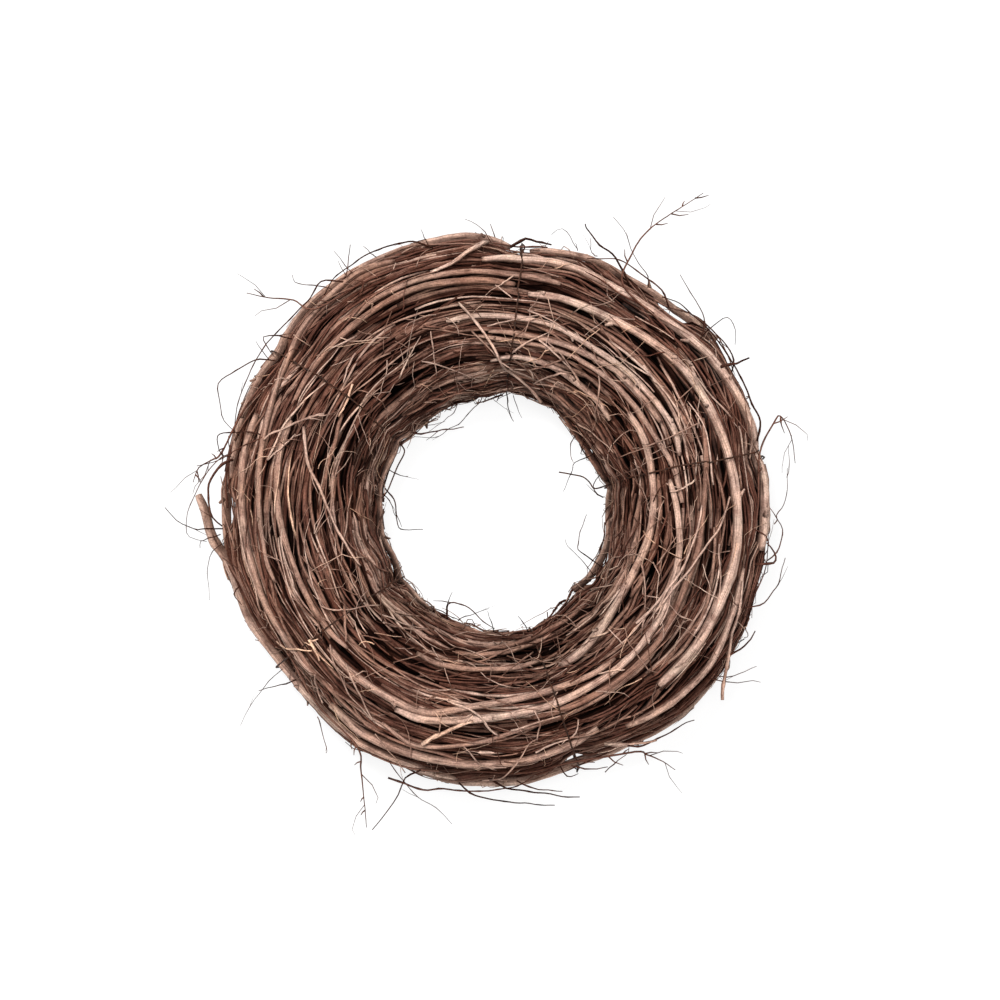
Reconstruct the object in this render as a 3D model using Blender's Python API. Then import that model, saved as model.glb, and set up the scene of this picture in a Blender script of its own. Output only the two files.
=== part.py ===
"""A wreath of brown twigs: ten bunches laid in a ring, long rods bound over them, and five wire ties.

Units are metres, +Z is up. The origin is on the surface that the wreath lies on, on the ring's axis.
A section is cut through the ring by a half plane from its axis. In it, u runs outwards and v upwards from
the bundle's middle. Sections stand at even steps round the ring, and every piece that follows the ring has
its corners in them, so that two pieces which are clear of each other in the sections are clear between them.
"""

import math
import random

import bmesh
import bpy
import numpy as np
from mathutils import Vector

MM_PER_M = 1000

# The bundle of twigs, without the rods laid over it.
RING_RADIUS = 0.1225
HALF_WIDTH = 0.0465
HALF_HEIGHT = 0.0415
MIDDLE_HEIGHT = 0.0370
SWELL = 0.0013
RIDGES = 42
CROWN_DROP = 0.0022
VALLEY_DROP = (0.0030, 0.0050)
TWIG_SECTIONS = (3, 7)
REST_BAND = math.radians(15)
CROWN_WINDOW = math.radians(6)

# Sections round the ring, and where the bunches and the ties stand in them.
SECTIONS = 30
STEP = 2 * math.pi / SECTIONS
TIE_SECTIONS = (1, 7, 12, 18, 24)
BUNCH_STARTS = (1, 4, 7, 10, 12, 15, 18, 21, 24, 27)
BUNCH_GAP = 0.0003
TIE_PINCH = 0.0035
TIE_FLOOR = 0.0035

# Clear space between neighbours, and under the rods.
CLEAR = 0.0004
ROD_FLOOR = 0.0008

# Rods and twigs on top of the bundle: kind, thickness, first section, and the distance from the ring's axis
# in that section and in each one after it. All in millimetres.
TOP_RODS = (
    ("thick_rod", 7.0, 26, (153.5, 155, 155, 155, 154, 152.5, 151, 149, 144.5, 140.5, 138.5, 137.5)),
    ("thick_rod", 6.6, 29, (166.5, 166, 166, 165.5, 163, 160.7, 160, 159.8, 159.5, 160)),
    ("thick_rod", 5.6, 3, (173, 173, 170.5, 166.8, 165.5)),
    ("thick_rod", 5.8, 7, (171.5, 175, 176, 176, 174.5, 172.5, 172, 171.5, 170.5)),
    ("thick_rod", 6.4, 16, (172.5, 170.5, 170, 170.5, 171, 172, 173)),
    ("thick_rod", 6.0, 19, (163.5, 164.3, 164, 162, 159.6, 155.8, 153.5)),
    ("thick_rod", 6.0, 24, (109.5, 106.5, 101.5, 98, 97.4, 99.6, 102, 104.5, 104.5, 104)),
    ("thick_rod", 5.2, 20, (142.5, 139.5, 134, 129.3, 128, 127.5, 127.2, 125.5, 123.5, 120.5, 116.5, 113)),
    ("thick_rod", 5.0, 18, (136.5, 137.3, 137, 135, 128, 123, 121.2, 122.4, 122)),
    ("thick_rod", 5.2, 13, (162.8, 162.5, 159.8, 157.9, 157.2, 157.3, 156.8)),
    ("slim_rod", 4.4, 23, (133.5, 132.8, 132.8, 133.4, 132.7, 130, 130.8, 131.5, 137.5, 145)),
    ("slim_rod", 3.8, 0, (124.5, 117, 111.8, 111, 110.7, 108.8, 107, 106.5, 107.9)),
    ("slim_rod", 4.2, 1, (121.5, 123.2, 120.5, 118.7, 118.7, 120, 121.9, 123, 124)),
    ("slim_rod", 4.2, 2, (118.3, 115.6, 114.5, 112.4, 111.5, 110.7, 111.5)),
    ("slim_rod", 4.2, 6, (145.8, 147.6, 149.9, 151.6, 151, 150)),
    ("slim_rod", 4.8, 7, (142.8, 144.2, 146, 145, 142.2, 141.9, 141.6)),
    ("slim_rod", 4.4, 13, (137.3, 137.2, 134, 131, 129.5, 129, 128.5)),
    ("slim_rod", 4.4, 9, (164.5, 167.5, 164.3, 159.2, 154.8, 151, 149, 149.2, 148.5)),
    ("slim_rod", 4.8, 25, (161, 162.7, 163.5, 161.6, 161)),
    ("slim_rod", 3.8, 20, (100.8, 101.3, 101.3, 101, 100)),
    ("slim_rod", 3.8, 21, (94.8, 94.2, 93, 91.3, 89)),
    ("slim_rod", 3.8, 22, (89.5, 88.3, 85.5, 82.5, 82, 81)),
    ("slim_rod", 4.4, 11, (76, 75, 74, 73.5, 73, 73, 73.5, 74, 75, 76)),
    ("slim_rod", 3.8, 13, (80, 79.2, 79.3, 79, 78.6, 79)),
    ("slim_rod", 3.6, 27, (103.5, 104.2, 105.6, 107.8, 109.5)),
    ("slim_rod", 4.6, 3, (92.5, 94, 94.6, 97, 96.2, 94)),
    ("slim_rod", 4.2, 1, (75.5, 73, 74, 75, 76)),
    ("twig", 2.8, 12, (116, 109.5, 108.3, 109.5)),
    ("twig", 2.8, 13, (129, 119.2, 105.5, 97.8, 93.5)),
    ("twig", 3.0, 20, (152.5, 156.5, 150.2, 141.5, 139.3, 138, 138.3, 138)),
    ("twig", 2.8, 26, (147.5, 149.8, 147.5, 141.8, 139.5)),
    ("twig", 2.8, 7, (87, 97, 109.8, 117.5, 128)),
)
TWIG_LAYER = 0.004

# The thick butt of one of them leaves the ring: its place in the list, and the points of its free end as
# angle round the ring, radius and height.
BUTT_ROD = 4
BUTT_POINTS = ((177, 0.1880, 0.044), (180, 0.1828, 0.043), (186, 0.1775, 0.042))

# Rods on the bundle's two flanks: name, how many, least and most thickness, and least and most sections that
# it spans. Their places are chosen within these angles from level, outside and inside the ring.
FLANK_RODS = (
    ("thick_rod", 3, 0.0060, 0.0072, 8, 12),
    ("slim_rod", 4, 0.0044, 0.0056, 7, 11),
)
FLANK_ANGLES = (math.radians(-34), math.radians(2))
BUNCH_TWIGS = 8
BUNCH_TWIG_THICKNESS = (0.0026, 0.0042)
BUNCH_TWIG_SECTIONS = (2, 3)
ROOT_DEPTH = 0.0085
SIDE_REACH = math.radians(38)

# Stray shoots that leave the bundle. Each has the section where it starts, the sections that it spans, its
# place round the bundle, and the points of its free end as angle round the ring, radius and height.
SHOOT_THICKNESS = 0.0026
SHOOT_BEND_SHARE = 0.85
SHOOT_TIP_SHARE = 0.42
SHOOT_LIFTS = (0.004, 0.011)
SHOOTS = (
    (28, 3, 24, ((17, 0.186, 0.056), (18, 0.1925, 0.050), (14, 0.196, 0.046), (9, 0.1955, 0.040))),
    (2, 3, 40, ((61.5, 0.183, 0.074), (61, 0.200, 0.070), (59, 0.2185, 0.068), (56.5, 0.2410, 0.066))),
    (11, 3, 20, ((170, 0.183, 0.050), (172, 0.190, 0.052), (175, 0.192, 0.056))),
    (17, 3, 30, ((243, 0.186, 0.046), (246, 0.203, 0.038), (248, 0.2180, 0.030))),
    (6, 5, 34, ((134, 0.184, 0.064), (137, 0.196, 0.066), (139, 0.2080, 0.070))),
    (22, 3, 12, ((302, 0.184, 0.040), (304, 0.193, 0.036), (305, 0.2020, 0.034))),
)

# The binding wire and the twist that closes each tie.
WIRE_THICKNESS = 0.0012
TIE_SLACK = 0.00075
TWIST_PLACE = math.radians(-24)
TWIST_LENGTH = 0.010
TWIST_TURNS = 1.5
TWIST_STEPS = 9

# Passes that settle the rods on the bundle, and then part those that still touch.
SETTLE_PASSES = 320
PART_PASSES = 160
EVEN_OUT = 0.25
DRAW_IN = 0.14

PALE_BARK = (0.33, 0.225, 0.150)
BROWN_BARK = (0.24, 0.145, 0.095)
DARK_BARK = (0.17, 0.095, 0.062)
IRON = (0.035, 0.030, 0.028)

draw = random.Random(49)


def clear_scene():
    for obj in list(bpy.data.objects):
        bpy.data.objects.remove(obj)


def material(name, colour, roughness, metallic=0.0):
    made = bpy.data.materials.new(name)
    made.use_nodes = True
    shader = made.node_tree.nodes["Principled BSDF"]
    shader.inputs["Base Color"].default_value = (*colour, 1.0)
    shader.inputs["Roughness"].default_value = roughness
    shader.inputs["Metallic"].default_value = metallic
    return made


def pinch(section):
    return 1.0 if section % SECTIONS in TIE_SECTIONS else 0.0


def crown_reach(section, around):
    """How far the crowns of the bundle's twigs stand from its middle, at an angle around it in a section."""
    along = section * STEP
    across = math.hypot(HALF_HEIGHT * math.cos(around), HALF_WIDTH * math.sin(around))
    ellipse = HALF_WIDTH * HALF_HEIGHT / across
    swell = SWELL * (math.sin(3 * along + around + 0.7) + 0.6 * math.sin(5 * along - 2 * around))
    return ellipse + swell - TIE_PINCH * pinch(section)


def drift(section):
    """How far all the twigs have rolled round the bundle by a section, as an angle."""
    along = section * STEP
    return 0.13 * math.sin(2 * along + 0.9) + 0.06 * math.sin(3 * along)


def in_space(section, u, v):
    angle = section * STEP
    radius = RING_RADIUS + u
    return Vector((radius * math.cos(angle), radius * math.sin(angle), MIDDLE_HEIGHT + v))


def ridge_heights():
    """For every ridge and section, how far its crown lies below the bundle's reach. A row of twigs laid end
    to end makes each ridge, so its height holds for a twig's length and then changes."""
    rows = []
    for _ in range(RIDGES):
        row = []
        while len(row) < SECTIONS:
            row += [draw.uniform(0, CROWN_DROP)] * draw.randint(*TWIG_SECTIONS)
        rows.append(row[:SECTIONS])
    return rows


def bundle_section(section, crown_drops):
    """The outline of the bundle in a section: a crown and a valley for each ridge of twigs. Underneath, where
    the wreath lies on its own weight, the twigs are pressed level."""
    floor = TIE_FLOOR if pinch(section) else 0.0
    outline = []
    for ridge in range(RIDGES):
        crown_drop = crown_drops[ridge][section % SECTIONS]
        valley_drop = VALLEY_DROP[ridge % 2] + 0.4 * crown_drop
        for part, drop in ((0.0, crown_drop), (0.5, valley_drop)):
            around = 2 * math.pi * (ridge + part) / RIDGES + drift(section)
            pressed = -math.sin(around) > math.cos(REST_BAND)
            reach = crown_reach(section, around) - (0 if pressed else drop)
            v = max(reach * math.sin(around), floor - MIDDLE_HEIGHT)
            outline.append((reach * math.cos(around), v))
    return outline


def bunch_body(name, first, last, crown_drops):
    """A stretch of the bundle, lofted through its sections. A hair's width is left to the next bunch."""
    mesh = bmesh.new()
    gap = BUNCH_GAP / 2 / (RING_RADIUS - HALF_WIDTH) / STEP
    rings = []
    for section in range(first, last + 1):
        outline = bundle_section(section, crown_drops)
        place = section + gap * ((section == first) - (section == last))
        rings.append([mesh.verts.new(in_space(place, u, v)) for u, v in outline])
    count = len(rings[0])
    for near, far in zip(rings, rings[1:]):
        for i in range(count):
            j = (i + 1) % count
            mesh.faces.new((near[i], near[j], far[j], far[i]))
    for ring, place in ((rings[0], first + gap), (rings[-1], last - gap)):
        middle = mesh.verts.new(in_space(place, 0, 0))
        for i in range(count):
            mesh.faces.new((middle, ring[i], ring[(i + 1) % count]))
    bmesh.ops.triangulate(mesh, faces=mesh.faces)
    bmesh.ops.recalc_face_normals(mesh, faces=mesh.faces)
    data = bpy.data.meshes.new(name)
    mesh.to_mesh(data)
    mesh.free()
    return bpy.data.objects.new(name, data)


class Strand:
    """A rod or twig that follows the ring. From its first section on, it has a place in each section, a
    radius there, and a least height over the bundle's crowns, which is below them where the strand is rooted.
    Beyond its places it may have free ends, each a list of points in space with their radii."""

    def __init__(self, name, first, places, radii):
        self.name = name
        self.first = first
        self.places = places
        self.radii = radii
        self.heights = [0.0] * len(places)
        self.free_start = []
        self.free_end = []
        self.cut = (draw.uniform(0.05, 0.45), draw.uniform(0.05, 0.45))

    @property
    def rooted(self):
        return self.heights[0] < 0

    def sections(self):
        return [(self.first + k) % SECTIONS for k in range(len(self.places))]

    def route(self):
        """The centre line in space and its radii. Each bound end is cut back within its last stretch."""
        line = [in_space(self.first + k, u, v) for k, (u, v) in enumerate(self.places)]
        if not self.rooted and not self.free_start:
            line[0] = line[0].lerp(line[1], self.cut[0])
        if not self.free_end:
            line[-1] = line[-1].lerp(line[-2], self.cut[1])
        full = self.free_start + list(zip(line, self.radii)) + self.free_end
        return [point for point, _ in full], [radius for _, radius in full]


def round_ring(degrees, radius, height):
    angle = math.radians(degrees)
    return Vector((radius * math.cos(angle), radius * math.sin(angle), height))


def on_bundle(section, around, height):
    reach = crown_reach(section, around) + height
    return [reach * math.cos(around), reach * math.sin(around)]


def place_on_top(section, from_axis, height):
    """The angle around the bundle at which a strand on its upper side stands this far from the ring's axis."""
    around = math.pi / 2
    for _ in range(12):
        reach = crown_reach(section, around) + height
        around = math.acos(min(max((from_axis - RING_RADIUS) / reach, -1), 1))
    return around


def new_strand(name, first, span, start, end, radius, tip_share, layer):
    """A strand that drifts from one place round the bundle to another, a layer's height above it."""
    wave = draw.uniform(-0.10, 0.10)
    phase = draw.uniform(0, math.tau)
    places, radii = [], []
    for k in range(span + 1):
        share = k / span
        around = start + (end - start) * share + wave * math.sin(math.pi * share + phase)
        places.append(on_bundle(first + k, around, radius + layer))
        radii.append(radius * (1 - (1 - tip_share) * share))
    return Strand(name, first, places, radii)


def lay_top_rods():
    """The rods and twigs in full view on top of the bundle."""
    strands = []
    for kind, thickness, first, distances in TOP_RODS:
        radius = thickness / 2 / MM_PER_M
        layer = TWIG_LAYER if kind == "twig" else 0.0
        tip_share = draw.uniform(0.65, 0.8)
        places, radii = [], []
        for k, distance in enumerate(distances):
            around = place_on_top(first + k, distance / MM_PER_M, radius)
            places.append(on_bundle(first + k, around, radius + layer))
            radii.append(radius * (1 - (1 - tip_share) * k / (len(distances) - 1)))
        strands.append(Strand(kind, first, places, radii))
    butt = strands[BUTT_ROD]
    butt.free_start = [(round_ring(*point), butt.radii[0]) for point in BUTT_POINTS]
    return strands


def lay_flank_rods():
    """The rods on the bundle's flanks, spread evenly round the ring, by turns outside and inside it."""
    strands = []
    for kind, count, thinnest, thickest, shortest, longest in FLANK_RODS:
        offset = draw.randrange(SECTIONS)
        for i in range(count):
            span = draw.randint(shortest, longest)
            first = (offset + round(i * SECTIONS / count) + draw.randint(-1, 1)) % SECTIONS
            start, end = (draw.uniform(*FLANK_ANGLES) for _ in range(2))
            if i % 2:
                start, end = math.pi - start, math.pi - end
            radius = draw.uniform(thinnest, thickest) / 2
            tip_share = draw.uniform(0.55, 0.8)
            strands.append(new_strand(kind, first, span, start, end, radius, tip_share, 0.0))
    return strands


def lay_rods():
    """All rods and twigs that lie over the bunches, numbered by kind."""
    strands = lay_top_rods() + lay_flank_rods()
    numbers = {}
    for strand in strands:
        numbers[strand.name] = numbers.get(strand.name, 0) + 1
        strand.name = f"{strand.name}_{numbers[strand.name]:02d}"
    return strands


def lay_shoots():
    strands = []
    for i, (first, span, degrees, free_end) in enumerate(SHOOTS):
        around = math.radians(degrees)
        radius = SHOOT_THICKNESS / 2
        name = f"stray_shoot_{i + 1:02d}"
        strand = new_strand(name, first, span, around, around, radius, SHOOT_BEND_SHARE, 0.0)
        strand.heights[-2:] = SHOOT_LIFTS
        for k, point in enumerate(free_end):
            share = (k + 1) / len(free_end)
            tapered = radius * (SHOOT_BEND_SHARE + (SHOOT_TIP_SHARE - SHOOT_BEND_SHARE) * share)
            strand.free_end.append((round_ring(*point), tapered))
        strands.append(strand)
    return strands


def bunch_spans():
    """The first and last section of each bunch."""
    ends = BUNCH_STARTS[1:] + (BUNCH_STARTS[0] + SECTIONS,)
    return list(zip(BUNCH_STARTS, ends))


def lay_bunch_twigs():
    """Loose twigs of each bunch, rooted in it. Their tips lie over it, and some reach over the next bunch."""
    strands = []
    for bunch, (first, last) in enumerate(bunch_spans()):
        for i in range(BUNCH_TWIGS):
            span = draw.randint(*BUNCH_TWIG_SECTIONS)
            start_section = draw.randint(first + 1, last - 1)
            share = (i + draw.uniform(0.15, 0.85)) / BUNCH_TWIGS
            start = -SIDE_REACH + (math.pi + 2 * SIDE_REACH) * share
            end = start + draw.uniform(-0.35, 0.35)
            radius = draw.uniform(*BUNCH_TWIG_THICKNESS) / 2
            strand = new_strand(f"bunch_{bunch}", start_section, span, start, end, radius, 0.6, 0.001)
            strand.heights[0] = -ROOT_DEPTH
            strands.append(strand)
    return strands


def as_arrays(strands):
    """Places, radii, presence and least heights of every strand in every section."""
    places = np.zeros((len(strands), SECTIONS, 2))
    radii = np.zeros((len(strands), SECTIONS))
    here = np.zeros((len(strands), SECTIONS), bool)
    heights = np.zeros((len(strands), SECTIONS))
    for row, strand in enumerate(strands):
        for k, section in enumerate(strand.sections()):
            places[row, section] = strand.places[k]
            radii[row, section] = strand.radii[k]
            here[row, section] = True
            heights[row, section] = strand.heights[k]
    return places, radii, here, heights


def between(values, share):
    return values * (1 - share) + np.roll(values, -1, axis=1) * share


def overlaps(places, radii, here, clear):
    """For every pair of strands in every section: how far they are too near, and which way parts them."""
    away = places[:, None] - places[None]
    distance = np.linalg.norm(away, axis=-1) + 1e-9
    near = radii[:, None] + radii[None] + clear - distance
    near = np.where(here[:, None] & here[None], np.maximum(near, 0), 0)
    near[np.arange(len(places)), np.arange(len(places))] = 0
    return near, away / distance[..., None]


def part_neighbours(places, radii, here):
    """Pushes strands apart where they touch, in the sections and halfway between them."""
    near, direction = overlaps(places, radii, here, CLEAR)
    push = (near[..., None] * direction).sum(axis=1) * 0.5
    both = here & np.roll(here, -1, axis=1)
    near, direction = overlaps(between(places, 0.5), between(radii, 0.5), both, CLEAR)
    half = (near[..., None] * direction).sum(axis=1) * 0.5
    push += half + np.roll(half, 1, axis=1)
    return places + np.clip(push, -0.0015, 0.0015) * 0.6


def nearest_crown_drop(section, around, crown_drops):
    """How far the highest crown near a place lies below the bundle's reach."""
    drops = []
    for ridge, row in enumerate(crown_drops):
        away = 2 * math.pi * ridge / RIDGES + drift(section) - around
        if math.cos(away) > math.cos(CROWN_WINDOW):
            drops.append(row[section])
    return min(drops)


def reach_table(crown_drops):
    """How far the bundle's twigs stand from its middle in every section, for every degree around it."""
    table = np.zeros((SECTIONS, 360))
    for section in range(SECTIONS):
        for degree in range(360):
            around = math.radians(degree)
            drop = nearest_crown_drop(section, around, crown_drops)
            table[section, degree] = crown_reach(section, around) - drop
    return table


def least_distance(places, radii, heights, table):
    """How far from the bundle's middle each place has to be, and how far it is."""
    around = np.degrees(np.arctan2(places[..., 1], places[..., 0])) % 360
    index = np.minimum(around.astype(int), 359)
    section = np.arange(SECTIONS)[None, :]
    least = table[section, index] + radii + CLEAR + heights
    return least, np.linalg.norm(places, axis=-1) + 1e-9


def hold_off_halfway(places, radii, here, heights, table):
    """Moves strands out where their straight stretches would cut into the bundle between two sections."""
    halfway = between(places, 0.5)
    half_table = between(table, 0.5)
    least, distance = least_distance(halfway, between(radii, 0.5), between(heights, 0.5), half_table)
    free = here & (heights >= 0)
    free = free & np.roll(free, -1, axis=1)
    short = np.where(free, np.maximum(least - distance, 0), 0)
    push = halfway * (short / distance)[..., None]
    return places + push + np.roll(push, 1, axis=1)


def hold_off_bundle(places, radii, here, heights, table, pull):
    """Draws every strand towards the bundle, and keeps it out of the bundle and off the floor."""
    least, distance = least_distance(places, radii, heights, table)
    eased = distance - pull * (distance - least)
    wanted = np.where((distance > least) & (heights >= 0), eased, least)
    places = places * (wanted / distance)[..., None]
    lowest = ROD_FLOOR + radii - MIDDLE_HEIGHT
    lowest = lowest + TIE_FLOOR * np.array([pinch(s) for s in range(SECTIONS)])[None, :]
    places[..., 1] = np.where(here, np.maximum(places[..., 1], lowest), 0)
    return places


def even_out(shifts, here, share):
    """Spreads each strand's shift from where it was laid along the strand, so that it bends smoothly."""
    before = np.roll(here, 1, axis=1)
    after = np.roll(here, -1, axis=1)
    middle = (np.roll(shifts, 1, axis=1) + np.roll(shifts, -1, axis=1)) / 2
    inner = (here & before & after)[..., None]
    return np.where(inner, shifts + share * (middle - shifts), shifts)


def settle(strands, crown_drops):
    """Lets the strands come to lie on the bundle and on each other, as if drawn in by the ties."""
    places, radii, here, heights = as_arrays(strands)
    laid = places.copy()
    table = reach_table(crown_drops)
    for turn in range(SETTLE_PASSES + PART_PASSES):
        ease = max(0.0, 1 - turn / SETTLE_PASSES)
        places = laid + even_out(places - laid, here, EVEN_OUT * ease)
        places = part_neighbours(places, radii, here)
        places = hold_off_halfway(places, radii, here, heights, table)
        places = hold_off_bundle(places, radii, here, heights, table, DRAW_IN * math.sqrt(ease))
    for row, strand in enumerate(strands):
        strand.places = [list(places[row, section]) for section in strand.sections()]
    return keep_clear_ones(strands)


def keep_clear_ones(strands):
    """Leaves out each strand that still touches a thicker one."""
    strands = list(strands)
    while True:
        places, radii, here, _ = as_arrays(strands)
        both = here & np.roll(here, -1, axis=1)
        touching = overlaps(places, radii, here, CLEAR / 4)[0].sum(axis=2)
        for share in (0.25, 0.5, 0.75):
            near = overlaps(between(places, share), between(radii, share), both, CLEAR / 4)[0]
            touching += near.sum(axis=2)
        pairs = np.argwhere(touching > 0)
        if not len(pairs):
            return strands
        counts = np.bincount(pairs[:, 0], minlength=len(strands))
        protected = [bool(strand.free_start or strand.free_end) for strand in strands]
        thinness = [-max(strand.radii) for strand in strands]
        worst = max(range(len(strands)), key=lambda i: (counts[i] * (not protected[i]), thinness[i]))
        strands.pop(worst)


def tube(name, line, radii, sides_resolution):
    """A round strand along a line of points, with a radius at each point and closed ends."""
    data = bpy.data.curves.new(name, "CURVE")
    data.dimensions = "3D"
    data.bevel_depth = max(radii)
    data.bevel_resolution = sides_resolution
    data.use_fill_caps = True
    spline = data.splines.new("POLY")
    spline.points.add(len(line) - 1)
    for point, place, radius in zip(spline.points, line, radii):
        point.co = (*place, 1.0)
        point.radius = radius / max(radii)
    return bpy.data.objects.new(name, data)


def as_mesh(curve_object):
    """A mesh of a tube, with its caps welded on, for a Boolean union."""
    bpy.context.collection.objects.link(curve_object)
    bpy.context.view_layer.update()
    graph = bpy.context.evaluated_depsgraph_get()
    data = bpy.data.meshes.new_from_object(curve_object.evaluated_get(graph))
    mesh = bmesh.new()
    mesh.from_mesh(data)
    bmesh.ops.remove_doubles(mesh, verts=mesh.verts, dist=1e-6)
    bmesh.ops.recalc_face_normals(mesh, faces=mesh.faces)
    mesh.to_mesh(data)
    mesh.free()
    made = bpy.data.objects.new(curve_object.name + "_mesh", data)
    made.matrix_world = curve_object.matrix_world.copy()
    bpy.data.objects.remove(curve_object)
    return made


def fuse(body, pieces, home):
    """Joins pieces to a body with one Boolean union on a collection, and removes them."""
    home.objects.link(body)
    if not pieces:
        return body
    group = bpy.data.collections.new(body.name + "_pieces")
    bpy.context.scene.collection.children.link(group)
    for piece in pieces:
        group.objects.link(piece)
    join = body.modifiers.new("join", "BOOLEAN")
    join.operation = "UNION"
    join.operand_type = "COLLECTION"
    join.collection = group
    join.solver = "EXACT"
    bpy.context.view_layer.update()
    graph = bpy.context.evaluated_depsgraph_get()
    data = bpy.data.meshes.new_from_object(body.evaluated_get(graph))
    body.modifiers.clear()
    body.data = data
    for piece in list(group.objects):
        bpy.data.objects.remove(piece)
    bpy.data.collections.remove(group)
    return body


def shoot_branches(line, radii):
    """Two side shoots on the free end of a stray shoot, each rooted in its middle."""
    branches = []
    for root, turn in ((-2, 1.0), (-3, -1.0)):
        start = line[root].lerp(line[root + 1], 0.13)
        along = (line[root + 1] - start).normalized()
        side = along.cross(Vector((0, 0, 1))).normalized() * turn
        radius = radii[root] * 0.62
        bend = start + along * 0.008 + side * 0.006
        tip = bend + along * 0.009 + side * 0.003 + Vector((0, 0, 0.003))
        branches.append(([start, bend, tip], [radius, radius * 0.85, radius * 0.7]))
    return branches


def hull(points):
    """The convex hull of points in the plane, anticlockwise."""
    points = sorted(set(points))

    def half(ordered):
        chain = []
        for p in ordered:
            while len(chain) > 1:
                (ax, ay), (bx, by) = chain[-2], chain[-1]
                if (bx - ax) * (p[1] - ay) - (by - ay) * (p[0] - ax) > 0:
                    break
                chain.pop()
            chain.append(p)
        return chain[:-1]

    return half(points) + half(points[::-1])


def tie_outline(section, strands, crown_drops):
    """The line of a wire drawn tight round everything in a section: the hull of the bundle and the strands."""
    round_things = [(u, v, 0.0) for u, v in bundle_section(section, crown_drops)]
    for strand in strands:
        for place, radius, at in zip(strand.places, strand.radii, strand.sections()):
            if at == section:
                round_things.append((*place, radius))
    corners = 12
    spread = 1 / math.cos(math.pi / corners)
    points = []
    for u, v, radius in round_things:
        reach = (radius + WIRE_THICKNESS / 2 + TIE_SLACK) * spread
        for i in range(corners):
            turn = math.tau * i / corners
            points.append((round(u + reach * math.cos(turn), 7), round(v + reach * math.sin(turn), 7)))
    return hull(points)


def thin_out(outline, nearest):
    """Drops points of a hull that lie almost on the last one kept."""
    kept = [outline[0]]
    for point in outline[1:]:
        if math.dist(point, kept[-1]) > nearest:
            kept.append(point)
    return kept


def tie_route(section, strands, crown_drops):
    """One wire: up its first end, once round the bundle, and out along its second end, the ends twisted."""
    outline = thin_out(tie_outline(section, strands, crown_drops), 0.0004)
    turns = [abs(math.atan2(v, u) - TWIST_PLACE) for u, v in outline]
    start = turns.index(min(turns))
    outline = outline[start:] + outline[:start]
    loop = [in_space(section, u, v) for u, v in outline]
    out = in_space(section, math.cos(TWIST_PLACE), math.sin(TWIST_PLACE)) - in_space(section, 0, 0)
    out = out.normalized()
    along = in_space(section + 0.01, 0, 0) - in_space(section, 0, 0)
    along = along.normalized()
    across = out.cross(along)
    base = (loop[0] + loop[-1]) / 2 + out * WIRE_THICKNESS
    apart = WIRE_THICKNESS / 2 * 1.45

    def end_point(step, side):
        share = step / (TWIST_STEPS - 1)
        turn = math.tau * TWIST_TURNS * share
        away = (across * math.cos(turn) + along * math.sin(turn)) * apart * side
        return base + out * (0.002 + TWIST_LENGTH * share) + away

    first_end = [end_point(step, 1) for step in reversed(range(TWIST_STEPS))]
    second_end = [end_point(step, -1) for step in range(TWIST_STEPS)]
    if (loop[0] - first_end[-1]).length > (loop[0] - second_end[0]).length:
        first_end, second_end = second_end[::-1], first_end[::-1]
    return first_end + loop + second_end


def finish(obj, home, surface, smooth_angle=None):
    if obj.name not in home.objects:
        home.objects.link(obj)
    obj.data.materials.clear()
    obj.data.materials.append(surface)
    if smooth_angle and obj.type == "MESH":
        obj.data.shade_smooth()
        obj.data.set_sharp_from_angle(angle=math.radians(smooth_angle))


def build():
    clear_scene()
    home = bpy.data.collections.new("twig_wreath")
    bpy.context.scene.collection.children.link(home)
    surfaces = {
        "thick_rod": material("pale_bark", PALE_BARK, 0.75),
        "slim_rod": material("brown_bark", BROWN_BARK, 0.8),
        "twig": material("red_brown_bark", DARK_BARK, 0.8),
        "iron": material("annealed_iron", IRON, 0.5, 0.8),
    }
    crown_drops = ridge_heights()
    strands = settle(lay_rods() + lay_shoots() + lay_bunch_twigs(), crown_drops)

    for bunch, (first, last) in enumerate(bunch_spans()):
        body = bunch_body(f"twig_bunch_{bunch + 1:02d}", first, last, crown_drops)
        own = [s for s in strands if s.name == f"bunch_{bunch}"]
        twigs = [as_mesh(tube(f"{body.name}_{i}", *s.route(), 0)) for i, s in enumerate(own)]
        fuse(body, twigs, home)
        finish(body, home, surfaces["twig"])

    for strand in strands:
        if strand.rooted:
            continue
        line, radii = strand.route()
        rod = tube(strand.name, line, radii, 1)
        kind = strand.name.rsplit("_", 1)[0]
        if strand.free_end:
            shoots = enumerate(shoot_branches(line, radii))
            branches = [as_mesh(tube(f"{strand.name}_{i}", *shoot, 0)) for i, shoot in shoots]
            main = as_mesh(rod)
            main.name = strand.name
            rod = fuse(main, branches, home)
        finish(rod, home, surfaces.get(kind, surfaces["twig"]))

    for i, section in enumerate(TIE_SECTIONS):
        route = tie_route(section, strands, crown_drops)
        wire = tube(f"wire_tie_{i + 1}", route, [WIRE_THICKNESS / 2] * len(route), 1)
        finish(wire, home, surfaces["iron"])
    return strands


build()
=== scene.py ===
import math
import random

import bmesh
import bpy
import numpy as np
from bpy.props import FloatProperty, FloatVectorProperty, IntProperty, PointerProperty
from mathutils import Matrix, Vector
from mathutils.bvhtree import BVHTree


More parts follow.
